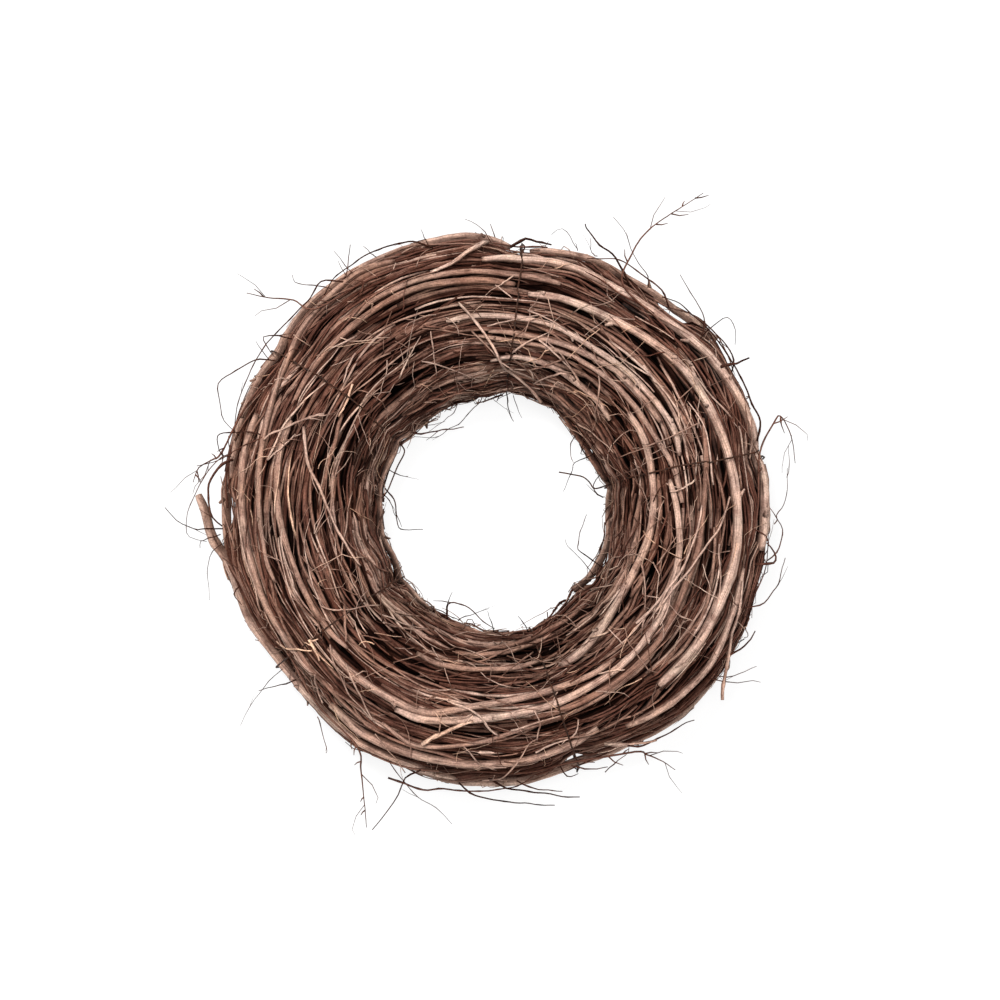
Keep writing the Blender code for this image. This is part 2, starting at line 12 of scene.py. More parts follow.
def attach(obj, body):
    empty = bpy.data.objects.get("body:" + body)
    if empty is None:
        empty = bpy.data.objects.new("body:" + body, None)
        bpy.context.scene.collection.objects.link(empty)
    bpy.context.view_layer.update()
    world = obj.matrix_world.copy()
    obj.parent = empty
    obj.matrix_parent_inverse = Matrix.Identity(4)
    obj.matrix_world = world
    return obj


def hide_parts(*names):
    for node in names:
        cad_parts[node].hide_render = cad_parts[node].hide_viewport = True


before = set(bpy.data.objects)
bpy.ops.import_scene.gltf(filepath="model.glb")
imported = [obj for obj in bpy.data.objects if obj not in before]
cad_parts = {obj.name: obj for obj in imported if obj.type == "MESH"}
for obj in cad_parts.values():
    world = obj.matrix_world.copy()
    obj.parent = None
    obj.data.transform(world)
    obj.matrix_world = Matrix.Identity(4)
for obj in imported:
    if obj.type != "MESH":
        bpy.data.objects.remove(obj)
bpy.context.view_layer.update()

bl_info = {
    "name": "Twig Wreath",
    "version": (1, 0, 0),
    "blender": (4, 5, 0),
    "location": "View3D > Sidebar > Wreath",
    "description": "Lays the rods, twigs, stray hairs and wire ties of a twig wreath",
    "category": "Object",
}

# The bundle: how far its middle is from the ring's axis and from the floor, the step between its sections,
# and the sections where its ties sit and its bunches start.
RING_RADIUS = 0.1225
MIDDLE_HEIGHT = 0.0370
STEP = math.radians(12)
TIE_SECTIONS = (1, 7, 12, 18, 24)
BUNCH_STARTS = (1, 4, 7, 10, 12, 15, 18, 21, 24, 27, 31)

# Points of the stray shoots' free ends beyond their first: angle round the ring, radius and height.
SHOOT_TIPS = {
    "stray_shoot_01": ((14, 0.196, 0.046), (9, 0.1955, 0.040)),
    "stray_shoot_02": ((59, 0.2185, 0.068), (56.5, 0.2410, 0.066)),
    "stray_shoot_03": ((172, 0.190, 0.052), (175, 0.192, 0.056)),
    "stray_shoot_04": ((246, 0.203, 0.038), (248, 0.2180, 0.030)),
    "stray_shoot_05": ((137, 0.196, 0.066), (139, 0.2080, 0.070)),
    "stray_shoot_06": ((304, 0.193, 0.036), (305, 0.2020, 0.034)),
}

# Twigs that cross the bundle on top of everything: thickness in millimetres, tone, and points as section
# and distance from the ring's axis in millimetres.
CROSSING_TWIGS = (
    (2.2, 0.80, ((5.5, 75.5), (6, 82.5), (7, 90), (7.35, 97), (7.7, 107.5), (8, 118), (8.33, 130.4))),
    (2.1, 0.78, ((13.1, 130), (13.33, 127.2), (14, 119.2), (14.4, 112.5), (15.1, 104.5), (16, 97.8),
        (17, 93))),
    (1.0, 0.85, ((7.1, 147), (7.35, 140.5), (7.47, 137))),
    (1.0, 0.80, ((7.48, 138), (7.3, 135), (7.08, 132.3))),
    (0.9, 0.60, ((1.86, 139), (1.82, 130), (1.78, 110), (1.8, 98), (1.85, 88))),
    (1.3, 0.88, ((0.62, 127), (0.4, 117), (0.38, 111))),
    (1.6, 0.72, ((3.35, 86.5), (3.8, 96), (4.28, 106))),
    (1.1, 0.70, ((4.55, 95.5), (5.05, 101.5), (5.5, 105), (6.05, 109.5))),
    (1.6, 0.75, ((5.0, 97.5), (5.3, 97), (5.6, 93), (6.02, 85.5))),
    (1.2, 0.75, ((6.05, 86), (6.2, 90.3), (6.35, 91.5), (6.67, 90), (7.4, 86.5), (7.75, 83))),
    (0.9, 0.85, ((5.02, 90.3), (5.3, 91), (5.38, 83))),
    (3.2, 0.82, ((7.62, 169.5), (8.1, 159), (8.4, 155.5), (8.75, 153.5))),
    (1.0, 0.72, ((9.15, 118), (9.25, 108), (9.45, 91.5))),
    (1.4, 0.80, ((11.0, 130.5), (11.4, 127), (11.72, 123))),
    (1.5, 0.95, ((11.58, 118.6), (11.85, 115.9), (12.15, 114), (12.5, 113.6))),
    (1.6, 0.72, ((12.6, 122.5), (12.9, 130), (13.2, 138), (13.5, 146), (13.65, 150))),
    (1.3, 0.78, ((13.33, 132.7), (13.7, 138), (14.03, 145.4))),
    (2.1, 1.00, ((17.97, 142.5), (18.2, 143.2), (18.45, 145.5))),
    (1.5, 0.98, ((17.62, 159), (18.0, 150), (18.2, 145.2))),
    (1.3, 0.95, ((18.03, 142.5), (18.08, 138))),
    (1.1, 0.72, ((17.5, 125.5), (17.75, 120), (17.9, 114), (18.2, 102), (18.42, 95))),
    (1.3, 0.70, ((18.6, 153), (18.8, 158), (19.07, 163.7))),
    (1.9, 0.55, ((17.8, 113), (18.15, 118.5), (18.55, 125.6))),
    (1.4, 0.74, ((18.9, 134.6), (19.35, 140), (19.7, 147.5), (20.1, 155))),
    (1.2, 0.70, ((18.35, 134), (18.9, 142), (19.4, 149), (20.05, 154))),
    (0.9, 0.70, ((20.2, 158.5), (20.5, 165.5), (20.95, 176))),
    (2.9, 0.93, ((21.1, 154.8), (21.25, 148), (21.55, 141.6), (21.75, 138.4), (22.05, 135))),
    (0.9, 0.66, ((21.37, 144), (21.34, 138), (21.3, 132))),
    (1.7, 0.80, ((21.4, 125), (22, 128.5), (22.2, 132), (22.42, 138), (22.6, 143.8))),
    (1.2, 0.68, ((22.3, 171), (22.9, 157), (23.2, 147.5), (23.36, 144))),
    (1.1, 0.80, ((23.36, 145), (23.52, 138), (23.42, 130.5))),
    (0.9, 0.74, ((21.9, 151), (22.3, 156), (22.72, 158.6))),
    (1.3, 0.82, ((23.3, 156), (24, 151.2), (24.18, 149), (24.3, 140.5))),
    (2.5, 0.84, ((24.6, 163), (24.9, 169), (25.15, 173.5), (25.42, 178))),
    (1.5, 0.92, ((25.5, 102.8), (25.75, 105.5), (26.02, 109))),
    (1.1, 0.86, ((25.15, 123.8), (25.5, 127), (25.72, 131.4))),
    (0.9, 0.60, ((26.1, 142), (26.15, 131), (26.2, 121), (26.45, 111.5))),
    (0.9, 0.82, ((26.1, 120), (26.08, 105))),
    (2.3, 0.80, ((26.66, 187), (26.8, 183), (27.1, 177.5), (27.5, 171.5), (28, 167.2), (28.62, 162))),
    (0.9, 0.78, ((27.5, 142.5), (27.45, 133), (27.6, 122), (27.45, 110))),
    (1.9, 0.80, ((26.7, 115.8), (27.67, 120), (28.6, 124.8), (29.3, 128), (30, 130))),
    (1.6, 0.72, ((27.2, 120.5), (28, 124.4), (28.78, 131.2), (29.3, 137.5), (29.7, 143), (30.2, 148))),
    (1.0, 0.66, ((28.35, 109), (28.8, 112.5), (29.2, 116))),
    (1.2, 0.74, ((26.67, 81), (26.95, 86.5), (27.25, 91.5))),
)

# Stray twigs and hairs that leave the bundle: thickness in millimetres, and points as section and distance
# from the ring's axis in millimetres.
STRAYS = (
    (0.7, ((-0.3, 168), (-0.12, 178), (0, 182.5), (0.3, 186), (0.65, 187))),
    (0.5, ((0.5, 186.5), (0.66, 189), (1.0, 190.4))),
    (2.1, ((2.66, 168), (2.58, 177), (2.55, 187.5))),
    (1.3, ((1.2, 171), (1.6, 178), (2.0, 177), (2.5, 177.4), (3.0, 177.6), (3.5, 177), (4.0, 176),
        (4.3, 172))),
    (1.0, ((2.5, 174), (2.66, 179.8), (2.92, 180.6), (3.12, 179.6), (3.6, 178), (4.0, 173))),
    (1.1, ((4.1, 170), (4.3, 175), (4.6, 176), (5.0, 177), (5.2, 177.8), (5.35, 176), (5.6, 173),
        (5.8, 168))),
    (0.7, ((3.3, 170), (3.33, 178), (3.32, 185), (3.3, 192.4), (3.05, 191), (2.85, 185))),
    (0.8, ((3.3, 172), (3.45, 178.5), (3.6, 182), (3.75, 183.5), (4.3, 190))),
    (0.6, ((4.6, 172), (4.7, 178), (4.95, 181), (5.2, 187), (5.35, 192), (5.65, 200.5))),
    (1.5, ((4.9, 166), (5.1, 172), (5.35, 175.5), (5.68, 180), (5.85, 184.5), (6.0, 187.5), (6.02, 190))),
    (0.7, ((5.65, 168), (5.72, 174), (5.8, 176), (5.86, 183))),
    (0.6, ((6.0, 168), (6.05, 175), (6.2, 180), (6.36, 185.3), (6.52, 178.5))),
    (2.0, ((7.2, 166), (6.95, 170.5), (6.75, 172), (6.48, 172.3))),
    (0.6, ((7.55, 170), (7.65, 177), (7.8, 182), (7.97, 185.5))),
    (0.6, ((8.66, 172), (8.7, 179), (8.72, 184))),
    (0.7, ((9.6, 170), (9.64, 180), (9.7, 186.8))),
    (1.0, ((10.3, 168), (10.2, 173), (10.1, 180), (10.0, 184.5), (9.88, 191))),
    (0.6, ((10.08, 174), (10.12, 181), (10.15, 193))),
    (1.2, ((8.6, 171), (8.9, 178.5), (9.2, 179.2), (9.5, 180), (10.0, 179.5), (10.4, 178), (10.7, 172))),
    (0.7, ((10.5, 172), (10.62, 178.6), (10.73, 182), (10.86, 187), (10.96, 191), (10.9, 196))),
    (1.0, ((10.3, 173), (10.6, 178.6), (11, 177), (11.4, 177.2), (12, 178.7), (12.6, 177.2),
        (13.2, 175.6), (13.7, 171))),
    (0.9, ((11.65, 168), (11.76, 176), (11.95, 184.2), (12.03, 178), (12.1, 170))),
    (0.6, ((12.2, 171), (12.15, 178), (12.07, 185.2))),
    (0.9, ((12.15, 168), (12.28, 177), (12.5, 182.5), (12.97, 192.4), (13.2, 187), (13.5, 181),
        (13.65, 168))),
    (1.0, ((13.55, 154), (13.62, 168), (13.7, 178), (13.76, 181.8), (13.9, 180), (14.1, 176),
        (14.05, 168))),
    (0.9, ((13.6, 152.5), (13.85, 160), (14.05, 170), (14.22, 180), (14.33, 190))),
    (0.7, ((14.0, 170), (14.1, 176), (14.3, 181.5), (14.7, 188), (15, 193), (15.3, 194.7),
        (15.46, 194.5), (15.55, 183))),
    (1.8, ((14.1, 168), (14.22, 174.5), (14.4, 178.5), (14.6, 180.8), (14.9, 180.4), (15.15, 178),
        (15.3, 172))),
    (0.9, ((15.35, 172), (15.33, 182), (15.35, 187), (15.3, 193), (15.2, 200), (15.0, 207.5))),
    (0.7, ((15.45, 174), (15.5, 182), (15.53, 187), (15.65, 187.6))),
    (0.5, ((15.6, 172), (15.7, 180.5), (15.9, 184), (16.3, 187), (16.5, 188.5))),
    (0.9, ((16.4, 168), (16.5, 174), (16.74, 170.5))),
    (0.9, ((18.4, 165), (18.35, 171.5), (18.25, 178), (18.15, 187.6))),
    (0.5, ((18.1, 168), (18.12, 180), (18.2, 188), (18.25, 198), (18.4, 210))),
    (0.7, ((19.15, 168), (19.25, 174), (19.4, 179), (19.6, 184), (19.64, 187))),
    (1.1, ((21.2, 168), (20.97, 178), (20.97, 190), (20.9, 201), (20.78, 216))),
    (1.3, ((20.72, 182.2), (21.0, 181.6), (21.4, 180), (22, 178.6), (22.4, 178), (22.9, 175.5),
        (23.2, 170))),
    (0.6, ((20.6, 172), (21, 182), (21.2, 185), (21.5, 190), (21.76, 196), (21.87, 200.5))),
    (1.1, ((21.9, 174), (22.1, 180.5), (22.5, 183.6), (23, 186.2), (23.46, 189))),
    (1.3, ((22.4, 170), (22.7, 176), (23, 178.5), (23.35, 181.6), (23.6, 184.6), (23.88, 189))),
    (1.0, ((22.9, 172), (23.1, 177), (23.4, 180), (23.63, 181.4))),
    (0.9, ((23.7, 168), (23.76, 176), (23.97, 175.4))),
    (1.0, ((23.9, 169), (24.1, 174), (24.3, 176.5), (24.48, 177.8))),
    (0.7, ((24.4, 180.3), (24.6, 177.6), (24.92, 175.8), (25.0, 170))),
    (1.2, ((24.9, 170), (25.1, 176), (25.6, 179), (26, 181), (26.12, 183.5))),
    (0.7, ((26.8, 172), (26.92, 182), (27.02, 189), (27.2, 196), (27.23, 200.5))),
    (0.7, ((26.9, 174), (27, 182), (27.16, 186.5), (27.41, 193))),
    (1.5, ((27.2, 172), (27.6, 180.4), (27.9, 182))),
    (0.9, ((28.2, 170), (28.32, 179.5), (28.55, 183), (28.76, 186), (29.2, 187))),
    (1.7, ((29.0, 168), (29.05, 176), (29.12, 179.2), (29.26, 178.6), (29.4, 173))),
    (0.9, ((29.1, 172), (29.27, 180.4), (29.65, 183.2), (29.8, 180), (30, 174))),
    (0.9, ((0.5, 70.5), (0.65, 66.8), (1.0, 66), (1.35, 67.8), (1.5, 72))),
    (0.6, ((2.42, 74), (2.44, 67), (2.48, 58.8), (2.3, 57), (2.05, 54.5), (1.8, 51.5), (1.1, 46.5))),
    (0.6, ((3.5, 70), (3.4, 64.5), (3.0, 60.5), (2.7, 59), (2.48, 58.6))),
    (0.8, ((7.0, 76), (6.9, 70), (6.85, 66), (6.7, 61), (6.45, 57.5))),
    (0.5, ((6.7, 74), (6.5, 68), (6.1, 61))),
    (0.6, ((7.2, 75), (7.32, 71), (7.42, 68.4), (7.55, 71))),
    (0.6, ((8, 73), (8.1, 69), (8.8, 62.5), (9.4, 58.5), (10.4, 57.4), (10.9, 60), (11.2, 64), (11.5, 69))),
    (1.1, ((11.4, 72), (11.2, 67), (10.8, 64), (10.3, 61), (9.9, 58.2), (9.2, 55.8))),
    (0.5, ((9.1, 71), (9.4, 66.5), (10, 65), (10.85, 65.2))),
    (0.7, ((13.3, 72), (13.36, 66), (13.38, 62), (13.3, 59))),
    (0.9, ((14.1, 71), (14.4, 66), (14.7, 63.5), (15.1, 63), (15.95, 63), (16.1, 60), (16.3, 52),
        (16.4, 47.5))),
    (0.7, ((14.4, 71), (14.6, 67.3), (14.9, 65.5), (15.35, 63.4))),
    (1.2, ((20.6, 77), (20.45, 73), (20.3, 68), (20.6, 65.3), (21.1, 64.8), (21.5, 67), (21.9, 71),
        (22.5, 77))),
    (0.6, ((20.4, 72), (20.3, 67), (20.3, 60))),
    (0.6, ((21, 75), (21.25, 71), (21.6, 69), (21.8, 66.5), (22.25, 64))),
    (0.6, ((22.5, 78), (22.4, 73), (22.2, 66))),
    (0.7, ((23.8, 82), (23.7, 74.5), (23.55, 70.5))),
    (0.5, ((27.2, 76), (27.34, 70), (27.5, 64), (27.6, 58), (27.7, 53), (28.0, 49.5))),
    (0.7, ((27.65, 78), (27.75, 65), (27.8, 59), (28.1, 58.7), (28.6, 58.2), (29.2, 58.5), (29.7, 59.5))),
)

# Loose ends of two ties inside the hole: section, distance from the axis and height, both in millimetres.
TIE_TAILS = {
    "wire_tie_1": (
        (0.95, 65.5, 56), (1.3, 63, 57), (1.65, 60, 57), (2.0, 54, 56), (2.2, 51, 56), (2.47, 47.5, 55)),
    "wire_tie_3": ((12.3, 67.6, 54), (13, 67.2, 54), (13.6, 67.5, 53), (14.2, 69, 52), (14.5, 72, 51)),
}

# How far the bundle's outer and inner side bulge beyond the plain ring, section by section, in millimetres.
# Above and below the bundle's middle, each bulge is whole up to one angle and gone at another, in degrees.
OUTER_BULGE = (
    5.7, 5.4, 7, 8.5, 2, 2.5, 4.8, 4, 6.7, 6.4, 7, 4.5, 4.5, 0.6, -1,
    2, 4, 0.6, -1, -1.5, 2.5, 0, 1.6, 0.3, 1, 1.5, 8.5, 10, 10, 7)
INNER_BULGE = (
    0.6, 3.5, 3.2, 4.5, 3.5, 0.3, -1.5, 0, 1.6, 2.5, 4, 3, 3.2, 0, -1.5,
    0.3, 0.3, 1.9, 3.2, 2.5, 2.5, 3, 2, 0.5, 0, -1.5, 0.5, -2.5, -2.5, -1)
BULGE_ABOVE = (12, 52)
BULGE_BELOW = (25, 75)

# How much a tie pinches the bulge, and over how many sections to each side.
TIE_PINCH = 0.6
TIE_PINCH_WIDTH = 0.28

# Each kind of rod: its material slot, and the darkest and the palest tone of its bark.
ROD_KINDS = {
    "thick_rod": ("pale_bark", 0.66, 0.90),
    "slim_rod": ("brown_bark", 0.46, 0.84),
    "twig": ("red_brown_bark", 0.45, 0.80),
}
BUNCH_NODES = ("twig_bunch",)
ROD_NODES = ("thick_rod", "slim_rod", "twig_0")

# Corners of the CAD's loose triangles and of tubes are merged within these distances, and faces whose
# normals agree this well lie on one flat end.
CAD_MERGE = 1e-6
TUBE_MERGE = 1e-7
FLAT_END = 0.9995

# The maps of how far the surface stands from the bundle's middle: one value for each degree round the ring
# and each two degrees round the bundle. They are cast from beyond every rod, bare places get a least reach,
# and a twig counts only so far beyond its bunch. The bed of twigs lies a little under the rods' tops.
MAP_STEP = math.radians(1)
MAP_ROUND = 360
MAP_AROUND = 180
CAST_FROM = 0.095
BARE_REACH = 0.040
MOST_PROUD = 0.009
BED_DROP = 0.0032
TOP_CLEAR = 0.0004
BUNDLE_REACH = 0.045
CROSSING_REACH = 0.046

# Painted shade where shade falls deep between the twigs, on their flanks and on the hole's side: the depth
# at which it is full, how much the depth, a twig's flanks and the hole's side add to it, and how far
# towards the hole that side is full.
PAINTED_SHADE_DEPTH = 0.008
DEPTH_PAINTED_SHADE = 0.92
FLANK_PAINTED_SHADE = 0.42
HOLE_PAINTED_SHADE = 0.16
HOLE_SIDE = 0.045

# The dark heart of the bundle, whose near-black colour is painted shade for its shadowed inside: half its
# width and height, its lowest point, how deep it stays under the bed of twigs, and its corners and steps.
HEART_HALVES = (0.0390, 0.0340)
HEART_FLOOR = 0.004
HEART_DEPTH = 0.0085
HEART_CORNERS = 28
HEART_STEPS = 12

# Strands: how many tones one mesh can hold, the radius that a curve's radius of 1 stands for, the least
# height of a strand's middle over the floor, and how many sides a twig, a rod and a shoot or wire have.
TONE_LEVELS = 24
UNIT_RADIUS = 0.001
LEAST_HEIGHT = 0.0006
TWIG_SIDES = 6
ROD_SIDES = 12
SHOOT_SIDES = 8

# Rods: their slow sway, and how many points of each end are thinned and pressed down, and how far.
ROD_SWAY = 0.00022
END_POINTS = 5
END_DEPTH = 0.0022
END_THINNING = 0.30

# Twigs: the angle between the points of a twig's line, how far it lies clear of what carries it, and how
# much it can sag from one point to the next.
LOWER_STEP = math.radians(5)
TWIG_STEP = math.radians(3.4)
FINE_STEP = math.radians(3.2)
TOP_STEP = math.radians(1.6)
TWIG_CLEAR = 0.0002
SAG = 0.0009
CROSSING_STEP = 0.0028
CROSSING_CLEAR = 0.0003
CROSSING_SWAY = 0.00018
FARTHEST_SHARE = 0.94

# Where few twigs are laid: the sine of the angle round the bundle below which it lies on the floor or is
# low, and the share of the twigs that is laid there.
UNDERSIDE = (-0.72, 0.35)
LOW_SIDE = (-0.1, 0.8)

# Stray shoots: how thick they are beside the CAD's, how much thinner each added tip is, the distance
# between the points of their line and between their buds, and their thorns.
SHOOT_SHARE = 0.55
TIP_THINNING = 0.28
SHOOT_STEP = 0.0030
SHOOT_BUDS = 0.018
THORN_COUNT = 5
THORN_RADII = (0.0005, 0.0004, 0.0002)

# Ties: how the twisted ends lean from the bundle and where they lie round it, how thick the wire is beside
# the CAD's, how it sways and sinks between the twigs, and its loose ends.
TWIST_LEAN = -0.44
TWIST_PLACE = math.radians(-24)
TWIST_REACH = math.radians(36)
WIRE_SHARE = 0.92
WIRE_SWAY = 0.00055
WIRE_SINK = 0.005
HELD_DEPTH = 0.0022
TAIL_ROOT_RADIUS = 0.00050
TAIL_RADIUS = 0.00045
TAIL_STEP = 0.002

# Stage: the floor, the sky, each lamp's place, size and power, and the camera's tilt, lens, sensor, half
# the width that it takes in and the point that it looks at.
FLOOR_HALF_WIDTH = 6.0
FLOOR_GLOW = 0.86
SKY_COLOUR = (1.0, 0.99, 0.975, 1.0)
SKY_STRENGTH = 0.16
LAMP_TARGET = Vector((0, 0, 0.04))
LAMPS = (
    ("key", (-0.6, 0.9, 2.3), 0.7, 66.0),
    ("fill", (1.4, -0.6, 1.8), 1.6, 8.0),
    ("overhead", (0.0, 0.1, 2.6), 0.7, 38.0),
)
CAMERA_TILT = math.radians(86)
CAMERA_LENS = 120
CAMERA_SENSOR = 36
CAMERA_HALF_WIDTH = 0.318
CAMERA_TARGET = Vector((0.0038, 0.0057, 0.055))

# A pattern that is stretched the same in every direction.
EVEN = (1, 1, 1)


class WreathSizes(bpy.types.PropertyGroup):
    """Sizes and counts of the twigs."""

    rod_step: FloatProperty(
        name="Rod step", description="Distance between the points of a rod's line",
        default=0.0035, unit="LENGTH")
    node_gap: FloatProperty(
        name="Bud spacing", description="Usual distance between two bud nodes on a rod",
        default=0.042, unit="LENGTH")
    under_count: IntProperty(
        name="Lower twigs", description="Dark twigs of the lower layer in a bunch", default=96)
    long_count: IntProperty(
        name="Long twigs", description="Long twigs that lie beside the rods in a bunch", default=17)
    medium_count: IntProperty(
        name="Medium twigs", description="Twigs of middling thickness in a bunch", default=108)
    rim_count: IntProperty(
        name="Rim twigs", description="Thin twigs that fill out a bunch's outer and inner side",
        default=104)
    fine_count: IntProperty(
        name="Fine twigs", description="Thin twigs in a bunch", default=125)
    over_count: IntProperty(
        name="Twigs on top", description="Thin twigs of a bunch that pass over the rods", default=23)
    hair_count: IntProperty(
        name="Hairs", description="Kinked hairs on top of a bunch", default=66)
    medium_radius: FloatProperty(
        name="Medium radius", description="Usual radius of a medium twig", default=0.00145, unit="LENGTH")
    fine_radius: FloatProperty(
        name="Fine radius", description="Usual radius of a fine twig", default=0.00072, unit="LENGTH")
    hair_radius: FloatProperty(
        name="Hair radius", description="Usual radius of a hair", default=0.00030, unit="LENGTH")


class WreathColours(bpy.types.PropertyGroup):
    """Colours of the bark, from the darkest twig to the palest rod."""

    # The heart's near-black is painted shade for the shadowed inside of the bundle.
    heart: FloatVectorProperty(
        name="Heart", description="Dark inside of the bundle", subtype="COLOR", size=3,
        default=(0.0030, 0.0014, 0.0010))
    dark: FloatVectorProperty(
        name="Dark bark", description="Darkest twigs", subtype="COLOR", size=3,
        default=(0.014, 0.005, 0.0032))
    red: FloatVectorProperty(
        name="Red-brown bark", description="Thin young twigs", subtype="COLOR", size=3,
        default=(0.125, 0.053, 0.037))
    brown: FloatVectorProperty(
        name="Brown bark", description="Slim rods", subtype="COLOR", size=3,
        default=(0.255, 0.143, 0.104))
    pale: FloatVectorProperty(
        name="Pale bark", description="Thick old rods", subtype="COLOR", size=3,
        default=(0.500, 0.345, 0.278))
    cut: FloatVectorProperty(
        name="Cut wood", description="Cut and broken ends", subtype="COLOR", size=3,
        default=(0.66, 0.42, 0.29))
    wire: FloatVectorProperty(
        name="Wire", description="Annealed iron wire", subtype="COLOR", size=3,
        default=(0.028, 0.017, 0.013))


def sizes():
    return bpy.context.scene.wreath_sizes


def colours():
    return bpy.context.scene.wreath_colours


# ---- materials

def new_material(name):
    made = bpy.data.materials.new(name)
    made.use_nodes = True
    tree = made.node_tree
    shader = tree.nodes["Principled BSDF"]
    return made, tree, shader


def node(tree, kind, **settings):
    made = tree.nodes.new(kind)
    for key, value in settings.items():
        setattr(made, key, value)
    return made


def multiplied(tree, factor, first, second):
    """One colour socket times another, mixed in by a factor."""
    mix = node(tree, "ShaderNodeMix", data_type="RGBA", blend_type="MULTIPLY")
    mix.inputs[0].default_value = factor
    tree.links.new(first, mix.inputs[6])
    tree.links.new(second, mix.inputs[7])
    return mix.outputs[2]


def object_place(tree):
    return node(tree, "ShaderNodeTexCoord").outputs["Object"]


def noise_on(tree, coordinates, scale, stretch, detail, roughness):
    """Noise that is stretched along its coordinates' axes."""
    place = node(tree, "ShaderNodeMapping")
    place.inputs["Scale"].default_value = stretch
    tree.links.new(coordinates, place.inputs["Vector"])
    noise = node(tree, "ShaderNodeTexNoise")
    noise.inputs["Scale"].default_value = scale
    noise.inputs["Detail"].default_value = detail
    noise.inputs["Roughness"].default_value = roughness
    tree.links.new(place.outputs[0], noise.inputs["Vector"])
    return noise.outputs["Fac"]


def ramp(tree, factor, stops):
    """A colour that goes through the stops as a factor grows."""
    made = node(tree, "ShaderNodeValToRGB")
    elements = made.color_ramp.elements
    while len(elements) < len(stops):
        elements.new(0.5)
    for element, (place, colour) in zip(elements, stops):
        element.position = place
        element.color = (*colour, 1.0) if len(colour) == 3 else colour
    tree.links.new(factor, made.inputs[0])
    return made.outputs[0]


def grey(value):
    return (value, value, value)


def add_relief(tree, shader, height, strength, distance):
    """Lets the light see a height in the finish."""
    bump = node(tree, "ShaderNodeBump")
    bump.inputs["Strength"].default_value = strength
    bump.inputs["Distance"].default_value = distance
    tree.links.new(height, bump.inputs["Height"])
    tree.links.new(bump.outputs[0], shader.inputs["Normal"])


def bark(name, streak_length, streak_width, relief):
    """Bark whose colour follows each twig's tone, with wear along it and over it, painted light on the tops
    and painted shade in deep places, on flanks and on the hole's side, and fine relief.
    """
    made, tree, shader = new_material(name)
    c = colours()
    tone = node(tree, "ShaderNodeAttribute", attribute_name="tone").outputs["Fac"]
    painted_shade_level = node(tree, "ShaderNodeAttribute", attribute_name="painted_shade_level").outputs["Fac"]
    place = object_place(tree)
    along = node(tree, "ShaderNodeUVMap", uv_map="UVMap").outputs[0]
    worn = ramp(tree, tone, (
        (0.0, c.dark), (0.28, c.red), (0.55, c.brown), (0.85, c.pale), (1.0, c.cut)))
    streak = (streak_length, streak_width, 1)
    crack = (streak_length * 2.2, streak_width * 2.4, 1)
    hues = ((0.36, (1.02, 0.97, 0.92)), (0.52, grey(1.0)), (0.66, (0.96, 1.01, 0.99)))
    streaks = ((0.32, (0.42, 0.38, 0.37)), (0.48, grey(0.92)), (0.70, grey(1.35)))
    cracks = ((0.34, (0.30, 0.24, 0.22)), (0.44, grey(0.95)), (0.66, grey(1.25)))
    blotches = ((0.34, (0.56, 0.48, 0.46)), (0.50, (0.96, 0.95, 0.95)), (0.70, (1.25, 1.22, 1.18)))
    specks = ((0.36, grey(0.62)), (0.52, grey(1.0)), (0.68, grey(1.25)))
    for factor, coordinates, scale, stretch, detail, roughness, stops in (
        (1.0, place, 26, EVEN, 2.0, 0.5, hues),
        (0.9, along, 1.0, streak, 4.0, 0.62, streaks),
        (0.85, along, 1.0, crack, 2.0, 0.5, cracks),
        (0.9, place, 85, EVEN, 3.0, 0.6, blotches),
        (0.7, place, 900, EVEN, 2.0, 0.5, specks),
    ):
        wear = ramp(tree, noise_on(tree, coordinates, scale, stretch, detail, roughness), stops)
        worn = multiplied(tree, factor, worn, wear)
    # Painted light and shade: tops brightened, deep places, twigs' flanks and the hole's side darkened.
    painted_shade = ramp(tree, painted_shade_level, (
        (0.0, grey(1.22)), (0.13, grey(1.06)), (0.34, (0.56, 0.51, 0.49)), (0.58, (0.16, 0.13, 0.12)),
        (0.88, grey(0.03))))
    tree.links.new(multiplied(tree, 1.0, worn, painted_shade), shader.inputs["Base Color"])
    rough = ramp(tree, noise_on(tree, place, 300, EVEN, 2.0, 0.5), ((0.3, grey(0.66)), (0.7, grey(0.88))))
    tree.links.new(rough, shader.inputs["Roughness"])
    fine = noise_on(tree, along, 1.0, (streak_length * 1.5, streak_width * 2.2, 1), 5.0, 0.6)
    add_relief(tree, shader, fine, 1.0, relief)
    gloss = ramp(tree, tone, ((0.15, grey(0.02)), (0.6, grey(0.16))))
    tree.links.new(gloss, shader.inputs["Specular IOR Level"])
    return made


def spotted(name, scale, stops):
    """A material with spots between two colours, and the spots' noise."""
    made, tree, shader = new_material(name)
    spots = noise_on(tree, object_place(tree), scale, EVEN, 3.0, 0.6)
    tree.links.new(ramp(tree, spots, stops), shader.inputs["Base Color"])
    return made, tree, shader, spots


def cut_wood():
    """Pale grainy wood of cut and broken ends."""
    pale = tuple(colours().cut)
    dull = tuple(0.55 * x for x in pale)
    made, tree, shader, grain = spotted("cut_wood", 700, ((0.32, dull), (0.62, pale)))
    add_relief(tree, shader, grain, 0.4, 0.0001)
    shader.inputs["Roughness"].default_value = 0.85
    return made


def painted_shade_heart():
    """Near-black inside of the bundle, with lighter patches: painted shade for the shadowed depths between
    the twigs.
    """
    deep = tuple(colours().heart)
    lighter = tuple(2.2 * x for x in deep)
    made, tree, shader, patches = spotted("painted_shade_heart", 260, ((0.35, deep), (0.7, lighter)))
    shader.inputs["Roughness"].default_value = 0.95
    shader.inputs["Specular IOR Level"].default_value = 0.02
    return made


